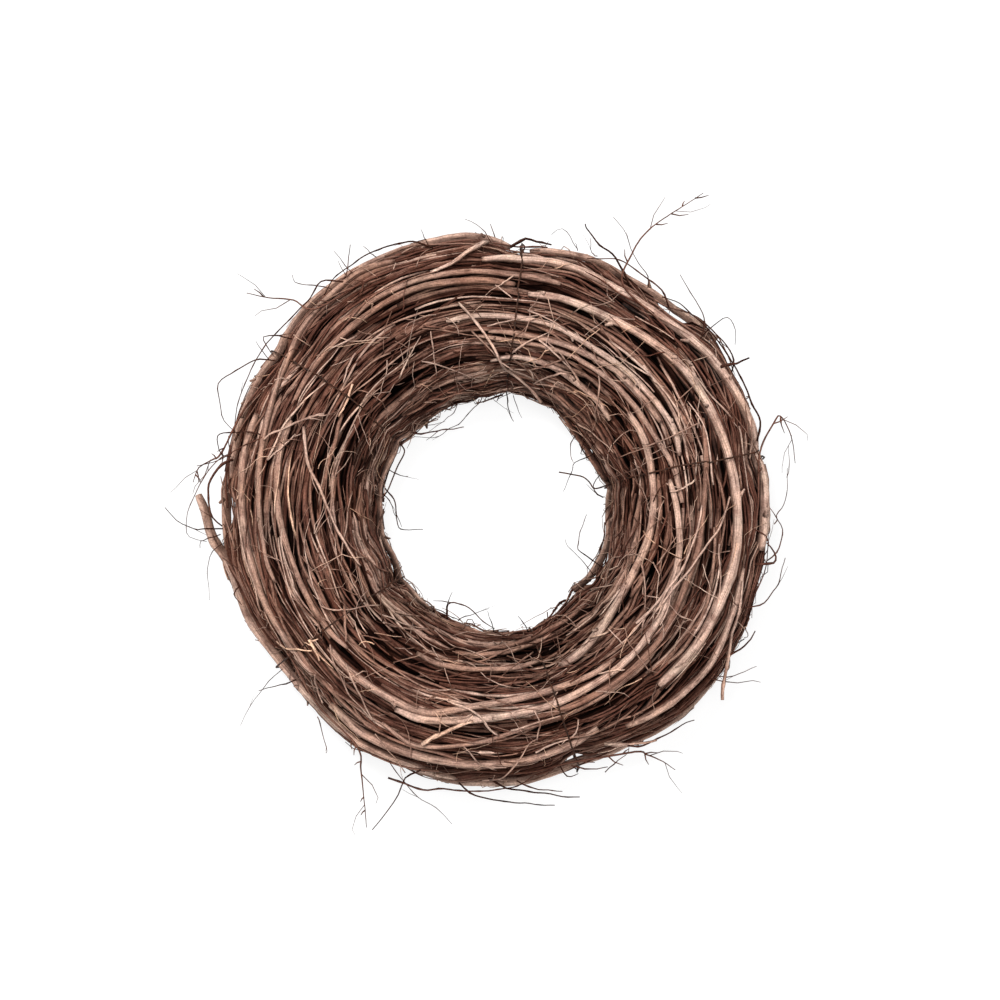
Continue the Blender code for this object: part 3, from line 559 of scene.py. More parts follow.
def annealed_wire():
    """Annealed wire: dull dark iron with spots of rust."""
    dark = tuple(colours().wire)
    rust = (dark[0] * 2.6, dark[1] * 1.7, dark[2] * 1.3)
    made, tree, shader, spots = spotted("annealed_wire", 420, ((0.42, dark), (0.62, rust)))
    rough = ramp(tree, spots, ((0.35, grey(0.42)), (0.65, grey(0.75))))
    tree.links.new(rough, shader.inputs["Roughness"])
    add_relief(tree, shader, spots, 0.3, 0.00005)
    shader.inputs["Specular IOR Level"].default_value = 0.06
    return made


def finish_named(name):
    """A material by name, made once."""
    found = bpy.data.materials.get(name)
    if found:
        return found
    makers = {
        "rod_bark": lambda: bark("rod_bark", 9, 13, 0.00045),
        "twig_bark": lambda: bark("twig_bark", 7, 6, 0.00025),
        "cut_wood": cut_wood,
        "painted_shade_heart": painted_shade_heart,
        "annealed_wire": annealed_wire,
    }
    return makers[name]()


# ---- reading the CAD strands

def merged(cad_node):
    """A copy of a CAD node's mesh with its triangles joined."""
    mesh = bmesh.new()
    mesh.from_mesh(cad_node.data)
    bmesh.ops.remove_doubles(mesh, verts=mesh.verts, dist=CAD_MERGE)
    mesh.verts.index_update()
    return mesh


def cap_at(vertex, outwards):
    """The corners of the flat end that holds a corner and faces outwards."""
    first = max(vertex.link_faces, key=lambda f: f.normal.dot(outwards))
    seen = {first}
    stack = [first]
    while stack:
        face = stack.pop()
        for edge in face.edges:
            for other in edge.link_faces:
                if other not in seen and other.normal.dot(first.normal) > FLAT_END:
                    seen.add(other)
                    stack.append(other)
    return {v for face in seen for v in face.verts}


def stations(mesh, start):
    """The centre and radius of each ring of a tube, from one flat end to the other or to its first fork."""
    found = []
    layer = start
    seen = set(start)
    while len(layer) == len(start):
        corners = [v.co for v in sorted(layer, key=lambda v: v.index)]
        centre = sum(corners, Vector()) / len(corners)
        found.append((centre, sum((c - centre).length for c in corners) / len(corners)))
        layer = {e.other_vert(v) for v in layer for e in v.link_edges} - seen
        seen |= layer
    return found


def angle_of(point):
    return math.atan2(point.y, point.x)


def turn_to(angle, middle):
    """An angle seen from a middle one, less than half a turn to either side."""
    return (angle - middle + math.pi) % math.tau - math.pi


def strand_stations(name):
    """The stations of a rod, twig or shoot, in the order in which it runs round the ring."""
    mesh = merged(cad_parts[name])
    middle = angle_of(sum((v.co for v in mesh.verts), Vector()))
    first = min(mesh.verts, key=lambda v: turn_to(angle_of(v.co), middle))
    angle = angle_of(first.co)
    found = stations(mesh, cap_at(first, Vector((math.sin(angle), -math.cos(angle), 0))))
    mesh.free()
    return found


def smooth_line(found, step):
    """A smooth curve through stations, as points with radii and their distance along it."""
    points = [c for c, _ in found]
    radii = [r for _, r in found]
    points = [points[0] * 2 - points[1]] + points + [points[-1] * 2 - points[-2]]
    radii = [radii[0]] + radii + [radii[-1]]
    line = []
    for i in range(1, len(points) - 2):
        p0, p1, p2, p3 = points[i - 1:i + 3]
        count = max(2, round((p2 - p1).length / step))
        for k in range(count):
            t = k / count
            place = 0.5 * (2 * p1 + (p2 - p0) * t + (2 * p0 - 5 * p1 + 4 * p2 - p3) * t * t
                           + (3 * p1 - p0 - 3 * p2 + p3) * t * t * t)
            line.append((place, radii[i] * (1 - t) + radii[i + 1] * t))
    line.append((points[-2], radii[-2]))
    return line


# ---- how far everything stands from the bundle's middle

def ring_place(angle, radius, height):
    return Vector((radius * math.cos(angle), radius * math.sin(angle), height))


def torus_point(along, around, reach):
    radius = RING_RADIUS + reach * math.cos(around)
    return ring_place(along, radius, MIDDLE_HEIGHT + reach * math.sin(around))


def reach_map(prefixes):
    """The outermost CAD surface seen from the bundle's middle, for every degree along and two around."""
    verts, faces = [], []
    for name, obj in sorted(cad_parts.items()):
        if name.startswith(prefixes):
            base = len(verts)
            verts += [v.co.copy() for v in obj.data.vertices]
            faces += [[base + i for i in p.vertices] for p in obj.data.polygons]
    tree = BVHTree.FromPolygons(verts, faces)
    table = np.zeros((MAP_ROUND, MAP_AROUND))
    for i in range(MAP_ROUND):
        for j in range(MAP_AROUND):
            along, around = i * MAP_STEP, j * 2 * MAP_STEP
            origin = torus_point(along, around, CAST_FROM)
            inwards = (torus_point(along, around, 0) - origin).normalized()
            hit = tree.ray_cast(origin, inwards)
            table[i, j] = CAST_FROM - hit[3] if hit[0] else BARE_REACH
    return table


def widest(table, along, around):
    """The greatest value within some steps along and around."""
    best = table
    for i in range(-along, along + 1):
        for j in range(-around, around + 1):
            best = np.maximum(best, np.roll(table, (i, j), axis=(0, 1)))
    return best


def softened(table, along, around):
    """The mean value within some steps along and around."""
    total = np.zeros_like(table)
    for i in range(-along, along + 1):
        for j in range(-around, around + 1):
            total += np.roll(table, (i, j), axis=(0, 1))
    return total / ((2 * along + 1) * (2 * around + 1))


def read(table, along, around):
    """A map's value at any place, between its nearest four."""
    x = (along / MAP_STEP) % MAP_ROUND
    y = (around / MAP_STEP / 2) % MAP_AROUND
    i, j = int(x), int(y)
    u, v = x - i, y - j
    i %= MAP_ROUND
    j %= MAP_AROUND
    i2, j2 = (i + 1) % MAP_ROUND, (j + 1) % MAP_AROUND
    return ((table[i, j] * (1 - u) + table[i2, j] * u) * (1 - v)
            + (table[i, j2] * (1 - u) + table[i2, j2] * u) * v)


def eased(share):
    held = np.clip(share, 0.0, 1.0)
    return held * held * (3 - 2 * held)


def bulges():
    """How far the bundle's sides bulge, for every place on it. The ties pinch the bulge."""
    along = np.arange(MAP_ROUND) * MAP_STEP / STEP
    sections = np.arange(len(OUTER_BULGE) + 1)
    outer = np.interp(along, sections, OUTER_BULGE + OUTER_BULGE[:1]) / 1000
    inner = np.interp(along, sections, INNER_BULGE + INNER_BULGE[:1]) / 1000
    for section in TIE_SECTIONS:
        pinch = 1 - TIE_PINCH * np.exp(-((along - section) / TIE_PINCH_WIDTH) ** 2)
        outer *= pinch
        inner *= pinch
    turn = np.degrees(np.arange(MAP_AROUND) * 2 * MAP_STEP)
    above = turn <= 180
    from_outside = np.minimum(turn, 360 - turn)
    shares = []
    for away in (from_outside, 180 - from_outside):
        over = eased((BULGE_ABOVE[1] - away) / (BULGE_ABOVE[1] - BULGE_ABOVE[0]))
        under = eased((BULGE_BELOW[1] - away) / (BULGE_BELOW[1] - BULGE_BELOW[0]))
        shares.append(np.where(above, over, under))
    return outer[:, None] * shares[0][None, :] + inner[:, None] * shares[1][None, :]


maps = {}


def ground_map(kind):
    """How far one surface stands from the bundle's middle: the bed of twigs in which the rods lie half
    buried, the rods alone, the top of everything, or the soft one under which painted shade starts. The
    bulge is kept with them."""
    if not maps:
        bundle = softened(reach_map(BUNCH_NODES), 2, 2)
        everything = np.minimum(reach_map(BUNCH_NODES + ROD_NODES), bundle + MOST_PROUD)
        wide = widest(everything, 1, 1)
        bulge = bulges()
        maps["bulge"] = bulge
        maps["bed"] = np.maximum(bundle, softened(wide, 2, 2) - BED_DROP) + bulge
        maps["rods"] = reach_map(ROD_NODES) + bulge
        maps["top"] = np.maximum(softened(wide, 1, 0) + bulge, maps["bed"] + TOP_CLEAR)
        maps["shade"] = softened(everything, 2, 2) + bulge
    return maps[kind]


def polar_of(place):
    """A point's angle round the ring, its angle round the bundle and its distance from the middle."""
    side = (place.xy.length - RING_RADIUS, place.z - MIDDLE_HEIGHT)
    return angle_of(place), math.atan2(side[1], side[0]), math.hypot(*side)


def bulged(place):
    """A place of the CAD, moved out by the bulge."""
    along, around, reach = polar_of(place)
    return torus_point(along, around, reach + read(ground_map("bulge"), along, around))


def painted_shade_at(places, normals):
    """How much painted shade the skin gets: it grows with the depth under everything, on a twig's flanks
    and towards the hole, where shade falls."""
    along = np.arctan2(places[:, 1], places[:, 0])
    out = np.hypot(places[:, 0], places[:, 1]) - RING_RADIUS
    up = places[:, 2] - MIDDLE_HEIGHT
    i = np.rint(along / MAP_STEP).astype(int) % MAP_ROUND
    j = np.rint(np.arctan2(up, out) / MAP_STEP / 2).astype(int) % MAP_AROUND
    reach = np.hypot(out, up)
    depth = np.clip((ground_map("shade")[i, j] - reach) / PAINTED_SHADE_DEPTH, 0.0, 1.0)
    outwards = np.stack((np.cos(along) * out, np.sin(along) * out, up), axis=1) / reach[:, None]
    flank = np.clip(1 - np.sum(normals * outwards, axis=1), 0.0, 1.0)
    inside = np.clip(-out / HOLE_SIDE, 0.0, 1.0)
    return np.clip(DEPTH_PAINTED_SHADE * depth + FLANK_PAINTED_SHADE * flank * flank + HOLE_PAINTED_SHADE * inside, 0.0, 1.0)


def around_for(table, along, from_axis):
    """Where around the bundle its upper side stands this far from the ring's axis."""
    around = math.pi / 2
    for _ in range(8):
        share = (from_axis - RING_RADIUS) / (read(table, along, around) + 1e-9)
        around = math.acos(min(max(share, -FARTHEST_SHARE), FARTHEST_SHARE))
    return around


# ---- pieces made of tubes

def column(items, key, kind, width=1):
    """One property of all items of a mesh, in a row."""
    values = np.zeros(len(items) * width, kind)
    items.foreach_get(key, values)
    return values


class Tubes:
    """Strands that become one mesh: round tubes with flat ends, each with its own tone."""

    def __init__(self, name, sides=TWIG_SIDES):
        self.name = name
        self.data = bpy.data.curves.new(name, "CURVE")
        self.data.dimensions = "3D"
        self.data.bevel_depth = UNIT_RADIUS
        self.data.bevel_resolution = (sides - 4) // 2
        self.data.use_fill_caps = True
        for _ in range(TONE_LEVELS):
            self.data.materials.append(None)

    def add(self, line, radii, tone):
        spline = self.data.splines.new("POLY")
        spline.points.add(len(line) - 1)
        flat = []
        for point in line:
            flat += (point[0], point[1], max(point[2], LEAST_HEIGHT), 1.0)
        spline.points.foreach_set("co", flat)
        spline.points.foreach_set("radius", [r / UNIT_RADIUS for r in radii])
        spline.material_index = round(min(max(tone, 0.0), 1.0) * (TONE_LEVELS - 1))

    def as_mesh(self):
        """The tubes' mesh, with the tone and the painted shade of every point, and the flat ends marked."""
        obj = bpy.data.objects.new(self.name + "_line", self.data)
        bpy.context.scene.collection.objects.link(obj)
        bpy.context.view_layer.update()
        graph = bpy.context.evaluated_depsgraph_get()
        data = bpy.data.meshes.new_from_object(obj.evaluated_get(graph))
        bpy.data.objects.remove(obj)
        level = column(data.polygons, "material_index", np.int32)
        corners = column(data.polygons, "loop_total", np.int32)
        tone = np.zeros(len(data.vertices), np.float32)
        tone[column(data.loops, "vertex_index", np.int32)] = np.repeat(level / (TONE_LEVELS - 1), corners)
        places = column(data.vertices, "co", np.float32, 3).reshape(-1, 3)
        normals = column(data.vertex_normals, "vector", np.float32, 3).reshape(-1, 3)
        # Painted shade of every point, from its depth, its flank and the hole's side, kept for the bark.
        painted_shade = painted_shade_at(places, normals).astype(np.float32)
        for key, values in (("tone", tone), ("painted_shade_level", painted_shade)):
            data.attributes.new(key, "FLOAT", "POINT").data.foreach_set("value", values)
        data.polygons.foreach_set("material_index", (corners > 4).astype(np.int32))
        return data


def finish_piece(tubes, materials, replaced=None, heart=None):
    """Closes the tubes' ends, smooths their sides, adds a heart, and puts the piece on the wreath."""
    data = tubes.as_mesh()
    mesh = heart or bmesh.new()
    mesh.from_mesh(data)
    bmesh.ops.remove_doubles(mesh, verts=mesh.verts, dist=TUBE_MERGE)
    bmesh.ops.recalc_face_normals(mesh, faces=mesh.faces)
    for face in mesh.faces:
        face.smooth = face.material_index != 1
    mesh.to_mesh(data)
    mesh.free()
    data.materials.clear()
    for material in materials:
        data.materials.append(finish_named(material))
    data.name = tubes.name
    piece = bpy.data.objects.new(tubes.name, data)
    bpy.context.scene.collection.objects.link(piece)
    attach(piece, "root")
    if replaced:
        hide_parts(replaced)


def bent(draw, line, amount):
    """The line with a slow random sway and slight kinks."""
    count = len(line)
    phases = [draw.uniform(0, math.tau) for _ in range(4)]
    swayed = []
    for i, point in enumerate(line):
        t = i / max(count - 1, 1) * math.tau
        sway = Vector([math.sin(pace * t + phase) for pace, phase in zip((2.3, 2.9, 3.7), phases)])
        swayed.append(point + sway * amount + Vector([draw.gauss(0, amount * 0.22) for _ in range(3)]))
    return swayed


def bud_stub(draw, tubes, place, along, outwards, radius, tone):
    """A short broken side shoot."""
    lean = (along * draw.choice((1, 1, -1)) * draw.uniform(0.5, 1.2) + outwards).normalized()
    length = radius * draw.uniform(0.9, 2.0)
    thick = radius * draw.uniform(0.25, 0.42)
    line = [place, place + lean * length * 0.5, place + lean * length]
    tubes.add(line, [thick * 1.7, thick, thick * draw.uniform(0.45, 0.75)], tone)


def sunk_ends(line):
    """The line with its ends thinned and pressed down between the twigs."""
    changed = []
    for k, (place, radius) in enumerate(line):
        near = min(k, len(line) - 1 - k)
        share = max(0.0, 1 - near / END_POINTS) ** 2
        changed.append((place - Vector((0, 0, END_DEPTH * share)), radius * (1 - END_THINNING * share)))
    return changed


def lay_rod(draw, tubes, line, tone, gap):
    """A rod with bud nodes, slight swellings and a few broken side shoots."""
    places = [p for p, _ in line]
    radii = [r for _, r in line]
    count = len(places)
    places = bent(draw, places, ROD_SWAY)
    waves = [(draw.uniform(0.15, 0.9), draw.uniform(0, math.tau)) for _ in range(3)]
    radii = [r * (1 + 0.022 * sum(math.sin(i * w + f) for w, f in waves)) for i, r in enumerate(radii)]
    node_at = draw.uniform(0.2, 1.0) * gap
    travelled = 0.0
    for i in range(1, count - 1):
        travelled += (places[i] - places[i - 1]).length
        if travelled < node_at:
            continue
        travelled = 0.0
        node_at = gap * draw.uniform(0.55, 1.5)
        swell = draw.uniform(1.06, 1.17)
        radii[i] *= swell
        radii[i - 1] *= 1 + (swell - 1) * 0.45
        radii[i + 1] *= 1 + (swell - 1) * 0.3
        if draw.random() < 0.4:
            along = (places[i + 1] - places[i - 1]).normalized()
            turn = angle_of(places[i])
            out = ring_place(turn, 1, 0) * draw.uniform(-1, 1)
            out += Vector((0, 0, draw.uniform(0.1, 1.0)))
            out = (out - along * out.dot(along)).normalized()
            bud_stub(draw, tubes, places[i] + out * radii[i] * 0.7, along, out, radii[i], tone)
    tubes.add(places, radii, tone)


class WREATH_OT_rods(bpy.types.Operator):
    """Dresses every rod and single twig over the bundle"""

    bl_idname = "wreath.rods"
    bl_label = "Rods"

    def execute(self, context):
        for name in sorted(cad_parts):
            kind = name.rsplit("_", 1)[0]
            if kind not in ROD_KINDS:
                continue
            slot, darkest, palest = ROD_KINDS[kind]
            draw = random.Random("rod " + name)
            tone = draw.uniform(darkest, palest)
            tubes = Tubes("bark_" + name, ROD_SIDES)
            line = smooth_line(strand_stations(name), sizes().rod_step)
            line = sunk_ends([(bulged(place), radius) for place, radius in line])
            lay_rod(draw, tubes, line, tone, sizes().node_gap)
            finish_piece(tubes, ("rod_bark", "cut_wood"), name)
        return {"FINISHED"}


def ride_height(table, places, radius, lift):
    """How far a twig's points stand from the bundle's middle: it rests on the highest places and spans the
    rest."""
    low = [read(table, along, around) for along, around in places]
    count = len(low)
    held = []
    for i in range(count):
        near = [low[k] - SAG * abs(k - i) for k in range(max(0, i - 4), min(count, i + 5))]
        held.append(max(near))
    smooth = []
    for i in range(count):
        near = held[max(0, i - 1):i + 2]
        smooth.append(sum(near) / len(near) + radius + lift)
    return smooth


class Bunch:
    """One bunch while it is laid: its stretch of the ring, its random draws and its twigs."""

    def __init__(self, name, first, last):
        self.first = first
        self.last = last
        self.draw = random.Random("bunch " + name)
        self.tubes = Tubes("fine_" + name)

    def times(self, count):
        """The rounds for a count of twigs that holds for three sections."""
        share = (self.last - self.first) / 3
        return range(round(count * share))

    def spot(self):
        """A place along the bunch."""
        return self.draw.uniform(self.first, self.last) * STEP


def lay_twig(
        bunch, along, around, length, cross, depth, radius, tone, step=TWIG_STEP, over=False, dive=0.0):
    """A twig along the ring, at a depth under the bed's surface or over everything that lies on it."""
    draw = bunch.draw
    count = max(5, round(length / step))
    wave = draw.uniform(0.0, 0.05) * min(1.0, length / 0.8)
    phase = draw.uniform(0, math.tau)
    places = []
    wander = 0.0
    for k in range(count + 1):
        t = k / count
        wander += draw.gauss(0, 0.075 * step)
        turn = around + cross * (t - 0.5) + wave * math.sin(math.tau * t + phase) + wander
        places.append((along + length * (t - 0.5), turn))
    if over:
        reaches = ride_height(ground_map("top"), places, radius, TWIG_CLEAR)
    else:
        bed = ground_map("bed")
        reaches = [read(bed, a, b) - radius - depth for a, b in places]
    line, radii = [], []
    tip = draw.uniform(0.35, 0.75)
    if draw.random() < 0.5:
        places.reverse()
        reaches.reverse()
    for k, ((a, b), reach) in enumerate(zip(places, reaches)):
        t = k / count
        sink = dive * (max(0.0, 1 - 6 * t) + max(0.0, 6 * t - 5))
        line.append(torus_point(a, b, reach - sink))
        radii.append(radius * (1 - (1 - tip) * t) * (1 + draw.gauss(0, 0.035)))
    if draw.random() < 0.45:
        radii[-1] *= 0.35
    for k in range(2, count - 1, draw.randint(3, 6)):
        radii[k] *= draw.uniform(1.1, 1.3)
    bunch.tubes.add(line, radii, tone)
    return line, radii


def free_course(draw, along, length):
    """A place round the bundle where a long twig lies beside the rods, the freest of several tries."""
    bed, rods = ground_map("bed"), ground_map("rods")
    tries = [draw.uniform(-0.6, math.pi + 0.4) for _ in range(9)]

    def covered(around):
        spots = [along + length * (k / 12 - 0.5) for k in range(13)]
        sides = (around - 0.04, around + 0.04)
        higher = [read(rods, spot, side) > read(bed, spot, around) for spot in spots for side in sides]
        return sum(higher)

    return min(tries, key=covered)


def lay_side_shoot(draw, tubes, line, radii, tone):
    """A thin side shoot or thorn that leaves a twig at a low angle."""
    k = draw.randrange(1, len(line) - 2)
    along = (line[k + 1] - line[k]).normalized() * draw.choice((1, -1))
    turn = angle_of(line[k])
    middle = ring_place(turn, RING_RADIUS, MIDDLE_HEIGHT)
    out = (line[k] - middle).normalized()
    side = along.cross(out) * draw.choice((1, -1))
    way = (along + side * draw.uniform(0.2, 0.7) + out * draw.uniform(0.05, 0.4)).normalized()
    length = draw.uniform(0.004, 0.018)
    bend = (way + side * draw.uniform(-0.3, 0.3) - out * 0.15).normalized()
    shoot = [line[k], line[k] + way * length * 0.5, line[k] + way * length * 0.5 + bend * length * 0.5]
    thick = radii[k] * draw.uniform(0.45, 0.7)
    tubes.add(shoot, [thick, thick * 0.8, thick * 0.45], tone)


def lay_hair(bunch, along, around, radius, tone):
    """A short kinked hair on top of everything, at any angle, with its end a little raised."""
    draw = bunch.draw
    top = ground_map("top")
    count = draw.randint(4, 9)
    length = draw.uniform(0.008, 0.042)
    heading = draw.gauss(0, 0.6) + draw.choice((0, math.pi))
    curl = draw.gauss(0, 0.11)
    lift = draw.uniform(0.0, 0.0026)
    line, radii = [], []
    for k in range(count + 1):
        t = k / count
        reach = read(top, along, around) + radius + lift * t + TWIG_CLEAR
        line.append(torus_point(along, around, reach))
        radii.append(radius * (1 - 0.55 * t))
        heading += curl + draw.gauss(0, 0.10) + (draw.choice((-1, 1)) * 0.7 if draw.random() < 0.07 else 0)
        stride = length / count
        along += stride * math.cos(heading) / (RING_RADIUS + BUNDLE_REACH * math.cos(around))
        around += stride * math.sin(heading) / BUNDLE_REACH
    bunch.tubes.add(line, radii, tone)


def heart_of(first, last):
    """The dark inside of a stretch of the bundle: an oval turned round the ring's axis and closed."""
    mesh = bmesh.new()
    half_width, half_height = HEART_HALVES
    ring = bmesh.ops.create_circle(mesh, cap_ends=False, radius=1.0, segments=HEART_CORNERS)["verts"]
    for v in ring:
        height = MIDDLE_HEIGHT + half_height * v.co.y
        v.co = Vector((RING_RADIUS + half_width * v.co.x, 0, max(height, HEART_FLOOR)))
    bmesh.ops.spin(
        mesh, geom=list(mesh.verts) + list(mesh.edges), cent=(0, 0, 0), axis=(0, 0, 1), dvec=(0, 0, 0),
        angle=(last - first) * STEP, steps=HEART_STEPS, use_merge=False, use_duplicate=False)
    start = Matrix.Rotation(first * STEP, 3, "Z")
    bmesh.ops.rotate(mesh, verts=mesh.verts, cent=(0, 0, 0), matrix=start)
    bed = ground_map("bed")
    for v in mesh.verts:
        along, around, reach = polar_of(bulged(v.co))
        v.co = torus_point(along, around, min(reach, read(bed, along, around) - HEART_DEPTH))
    bmesh.ops.holes_fill(mesh, edges=mesh.edges, sides=0)
    bmesh.ops.recalc_face_normals(mesh, faces=mesh.faces)
    for face in mesh.faces:
        face.material_index = 2
    return mesh


def upper_place(draw):
    """A place around the bundle. Few twigs are laid where it lies on the floor, and most on top."""
    while True:
        around = draw.uniform(-math.pi, math.pi)
        under = math.sin(around) < UNDERSIDE[0]
        low = math.sin(around) < LOW_SIDE[0]
        if draw.random() < (UNDERSIDE[1] if under else LOW_SIDE[1] if low else 1.0):
            return around


def lay_lower_twigs(bunch):
    """Thick twigs deep in the bunch, in the darkest tones, which are painted shade for the gaps between the
    twigs above.
    """
    draw = bunch.draw
    for _ in bunch.times(sizes().under_count):
        radius = sizes().medium_radius * draw.uniform(0.7, 1.5)
        along = bunch.spot()
        around = upper_place(draw)
        length = math.radians(draw.uniform(30, 60))
        cross = draw.gauss(0, 0.10)
        depth = draw.uniform(0.0028, 0.0062)
        # The darkest tones here are painted shade for the gaps under the upper twigs.
        lay_twig(bunch, along, around, length, cross, depth, radius, draw.uniform(0.0, 0.16), LOWER_STEP)


def lay_medium_twigs(bunch):
    """The twigs that make most of the bunch's skin, paler on its upper outer side; darker on the side
    towards the hole and in its depth, which is painted shade.
    """
    draw = bunch.draw
    for _ in bunch.times(sizes().medium_count):
        thickness = draw.choice((0.72, 0.85, 1.0, 1.15, 1.4))
        radius = sizes().medium_radius * thickness * draw.uniform(0.92, 1.08)
        depth = draw.uniform(0.0, 0.0040)
        # The tone drops with depth: painted shade.
        tone = draw.choice((0.22, 0.30, 0.40, 0.50, 0.62, 0.76)) + draw.gauss(0, 0.05) - 120 * depth
        around = upper_place(draw)
        # Paler on the upper outer side; darker on the side towards the hole, which is painted shade.
        tone += 0.10 if 0.2 < around < 1.5 else -0.07 if abs(around) > 1.9 else 0.0
        along = bunch.spot()
        length = math.radians(draw.uniform(30, 64))
        cross = draw.gauss(0, draw.choice((0.05, 0.07, 0.18)))
        dive = draw.choice((0, 0.001, 0.003))
        line, radii = lay_twig(bunch, along, around, length, cross, depth, radius, tone, dive=dive)
        if draw.random() < 0.4:
            lay_side_shoot(draw, bunch.tubes, line, radii, tone)


def lay_long_twigs(bunch):
    """Long twigs beside the rods, as thick as thin rods."""
    draw = bunch.draw
    for _ in bunch.times(sizes().long_count):
        radius = sizes().medium_radius * draw.uniform(1.15, 1.6)
        along = bunch.spot()
        length = math.radians(draw.uniform(55, 95))
        around = free_course(draw, along, length)
        cross = draw.gauss(0, 0.04)
        depth = draw.uniform(-0.0011, 0.0006)
        # Darker on the side towards the hole: painted shade.
        tone = draw.uniform(0.44, 0.84) - (0.08 if abs(around) > 1.9 else 0.0)
        lay_twig(bunch, along, around, length, cross, depth, radius, tone, dive=0.0035)


def lay_rim_twigs(bunch):
    """Thin dark twigs that fill out the outer side, and every fourth one the inner side."""
    draw = bunch.draw
    for k in bunch.times(sizes().rim_count):
        radius = sizes().fine_radius * draw.uniform(0.9, 2.0)
        outer = draw.uniform(-0.75, 0.90) if k % 2 else draw.uniform(-0.45, 0.35)
        around = outer if k % 4 else math.pi + draw.uniform(-0.75, 0.75)
        depth = draw.uniform(-0.0030, 0.0020)
        tone = draw.choice((0.12, 0.2, 0.3, 0.45)) + draw.gauss(0, 0.05)
        along = bunch.spot()
        length = math.radians(draw.uniform(24, 56))
        cross = draw.gauss(0, 0.10)
        lay_twig(bunch, along, around, length, cross, depth, radius, tone, dive=0.002)


def lay_fine_twigs(bunch):
    """Thin twigs between the others, half of them with a side shoot."""
    draw = bunch.draw
    for _ in bunch.times(sizes().fine_count):
        radius = sizes().fine_radius * draw.uniform(0.6, 1.5)
        depth = draw.uniform(-0.0010, 0.0026)
        # The tone drops with depth: painted shade.
        tone = draw.choice((0.16, 0.28, 0.36, 0.50, 0.74)) + draw.gauss(0, 0.06) - 85 * depth
        along = bunch.spot()
        around = upper_place(draw)
        length = math.radians(draw.uniform(16, 46))
        cross = draw.gauss(0, draw.choice((0.08, 0.12, 0.3)))
        dive = draw.choice((0, 0.001, 0.002))
        line, radii = lay_twig(
            bunch, along, around, length, cross, depth, radius, tone, FINE_STEP, dive=dive)
        if draw.random() < 0.5:
            lay_side_shoot(draw, bunch.tubes, line, radii, draw.gauss(0.5, 0.15))


def lay_top_twigs(bunch):
    """Short thin twigs that pass over the rods."""
    draw = bunch.draw
    for _ in bunch.times(sizes().over_count):
        radius = sizes().fine_radius * draw.uniform(0.45, 1.1)
        around = draw.uniform(-0.5, math.pi + 0.5)
        along = bunch.spot()
        length = math.radians(draw.uniform(8, 26))
        cross = draw.gauss(0, 0.2)
        tone = draw.choice((0.25, 0.45, 0.6, 0.8)) + draw.gauss(0, 0.05)
        line, radii = lay_twig(bunch, along, around, length, cross, 0.0, radius, tone, TOP_STEP, over=True)
        if draw.random() < 0.6:
            lay_side_shoot(draw, bunch.tubes, line, radii, draw.gauss(0.6, 0.15))


def lay_hairs(bunch):
    """Hairs on top, most of them pale."""
    draw = bunch.draw
    for _ in bunch.times(sizes().hair_count):
        radius = sizes().hair_radius * draw.uniform(0.6, 1.5)
        around = draw.uniform(-0.7, math.pi + 0.7)
        tone = draw.choice((0.2, 0.55, 0.75, 0.88, 0.98)) + draw.gauss(0, 0.04)
        lay_hair(bunch, bunch.spot(), around, radius, tone)


LAYERS = (
    lay_lower_twigs, lay_medium_twigs, lay_long_twigs, lay_rim_twigs, lay_fine_twigs, lay_top_twigs,
    lay_hairs)


class WREATH_OT_bunches(bpy.types.Operator):
    """Lays every bunch of the bundle twig by twig, over its dark heart"""

    bl_idname = "wreath.bunches"
    bl_label = "Bunches of twigs"

    def execute(self, context):
        for number, (first, last) in enumerate(zip(BUNCH_STARTS, BUNCH_STARTS[1:]), 1):
            name = f"twig_bunch_{number:02d}"
            bunch = Bunch(name, first, last)
            for lay in LAYERS:
                lay(bunch)
            finish_piece(
                bunch.tubes, ("twig_bark", "cut_wood", "painted_shade_heart"), name,
                heart_of(first, last))
        return {"FINISHED"}


def sideways(along, turn):
    """The level direction across a strand, to one side or the other."""
    return along.cross(Vector((0, 0, 1))).normalized() * turn


def lay_forks(draw, tubes, found, tone):
    """Two bent side shoots, one to each side, near a shoot's tip."""
    for root, turn in ((-2, 1.0), (-3, -1.0)):
        start = found[root][0].lerp(found[root + 1][0], 0.13)
        along = (found[root + 1][0] - start).normalized()
        side = sideways(along, turn)
        radius = found[root][1] * 0.62
        bend = start + along * 0.008 + side * 0.006
        tip = bend + along * 0.009 + side * 0.003 + Vector((0, 0, 0.003))
        end = tip + along * 0.004 + side * draw.uniform(-0.002, 0.004)
        tubes.add([start, bend, tip, end], [radius, radius * 0.85, radius * 0.6, radius * 0.4], tone)


def lay_thorns(draw, tubes, line, tone):
    """Thorns on the outer half of a shoot."""
    for _ in range(THORN_COUNT):
        k = draw.randrange(len(line) // 2, len(line) - 2)
        root = line[k][0]
        along = (line[k + 1][0] - root).normalized()
        side = sideways(along, draw.choice((-1, 1)))
        way = along + side * draw.uniform(0.4, 1.4) + Vector((0, 0, draw.uniform(-0.3, 0.3)))
        way.normalize()
        length = draw.uniform(0.003, 0.010)
        tubes.add([root, root + way * length * 0.6, root + (way + along * 0.3) * length], THORN_RADII, tone)


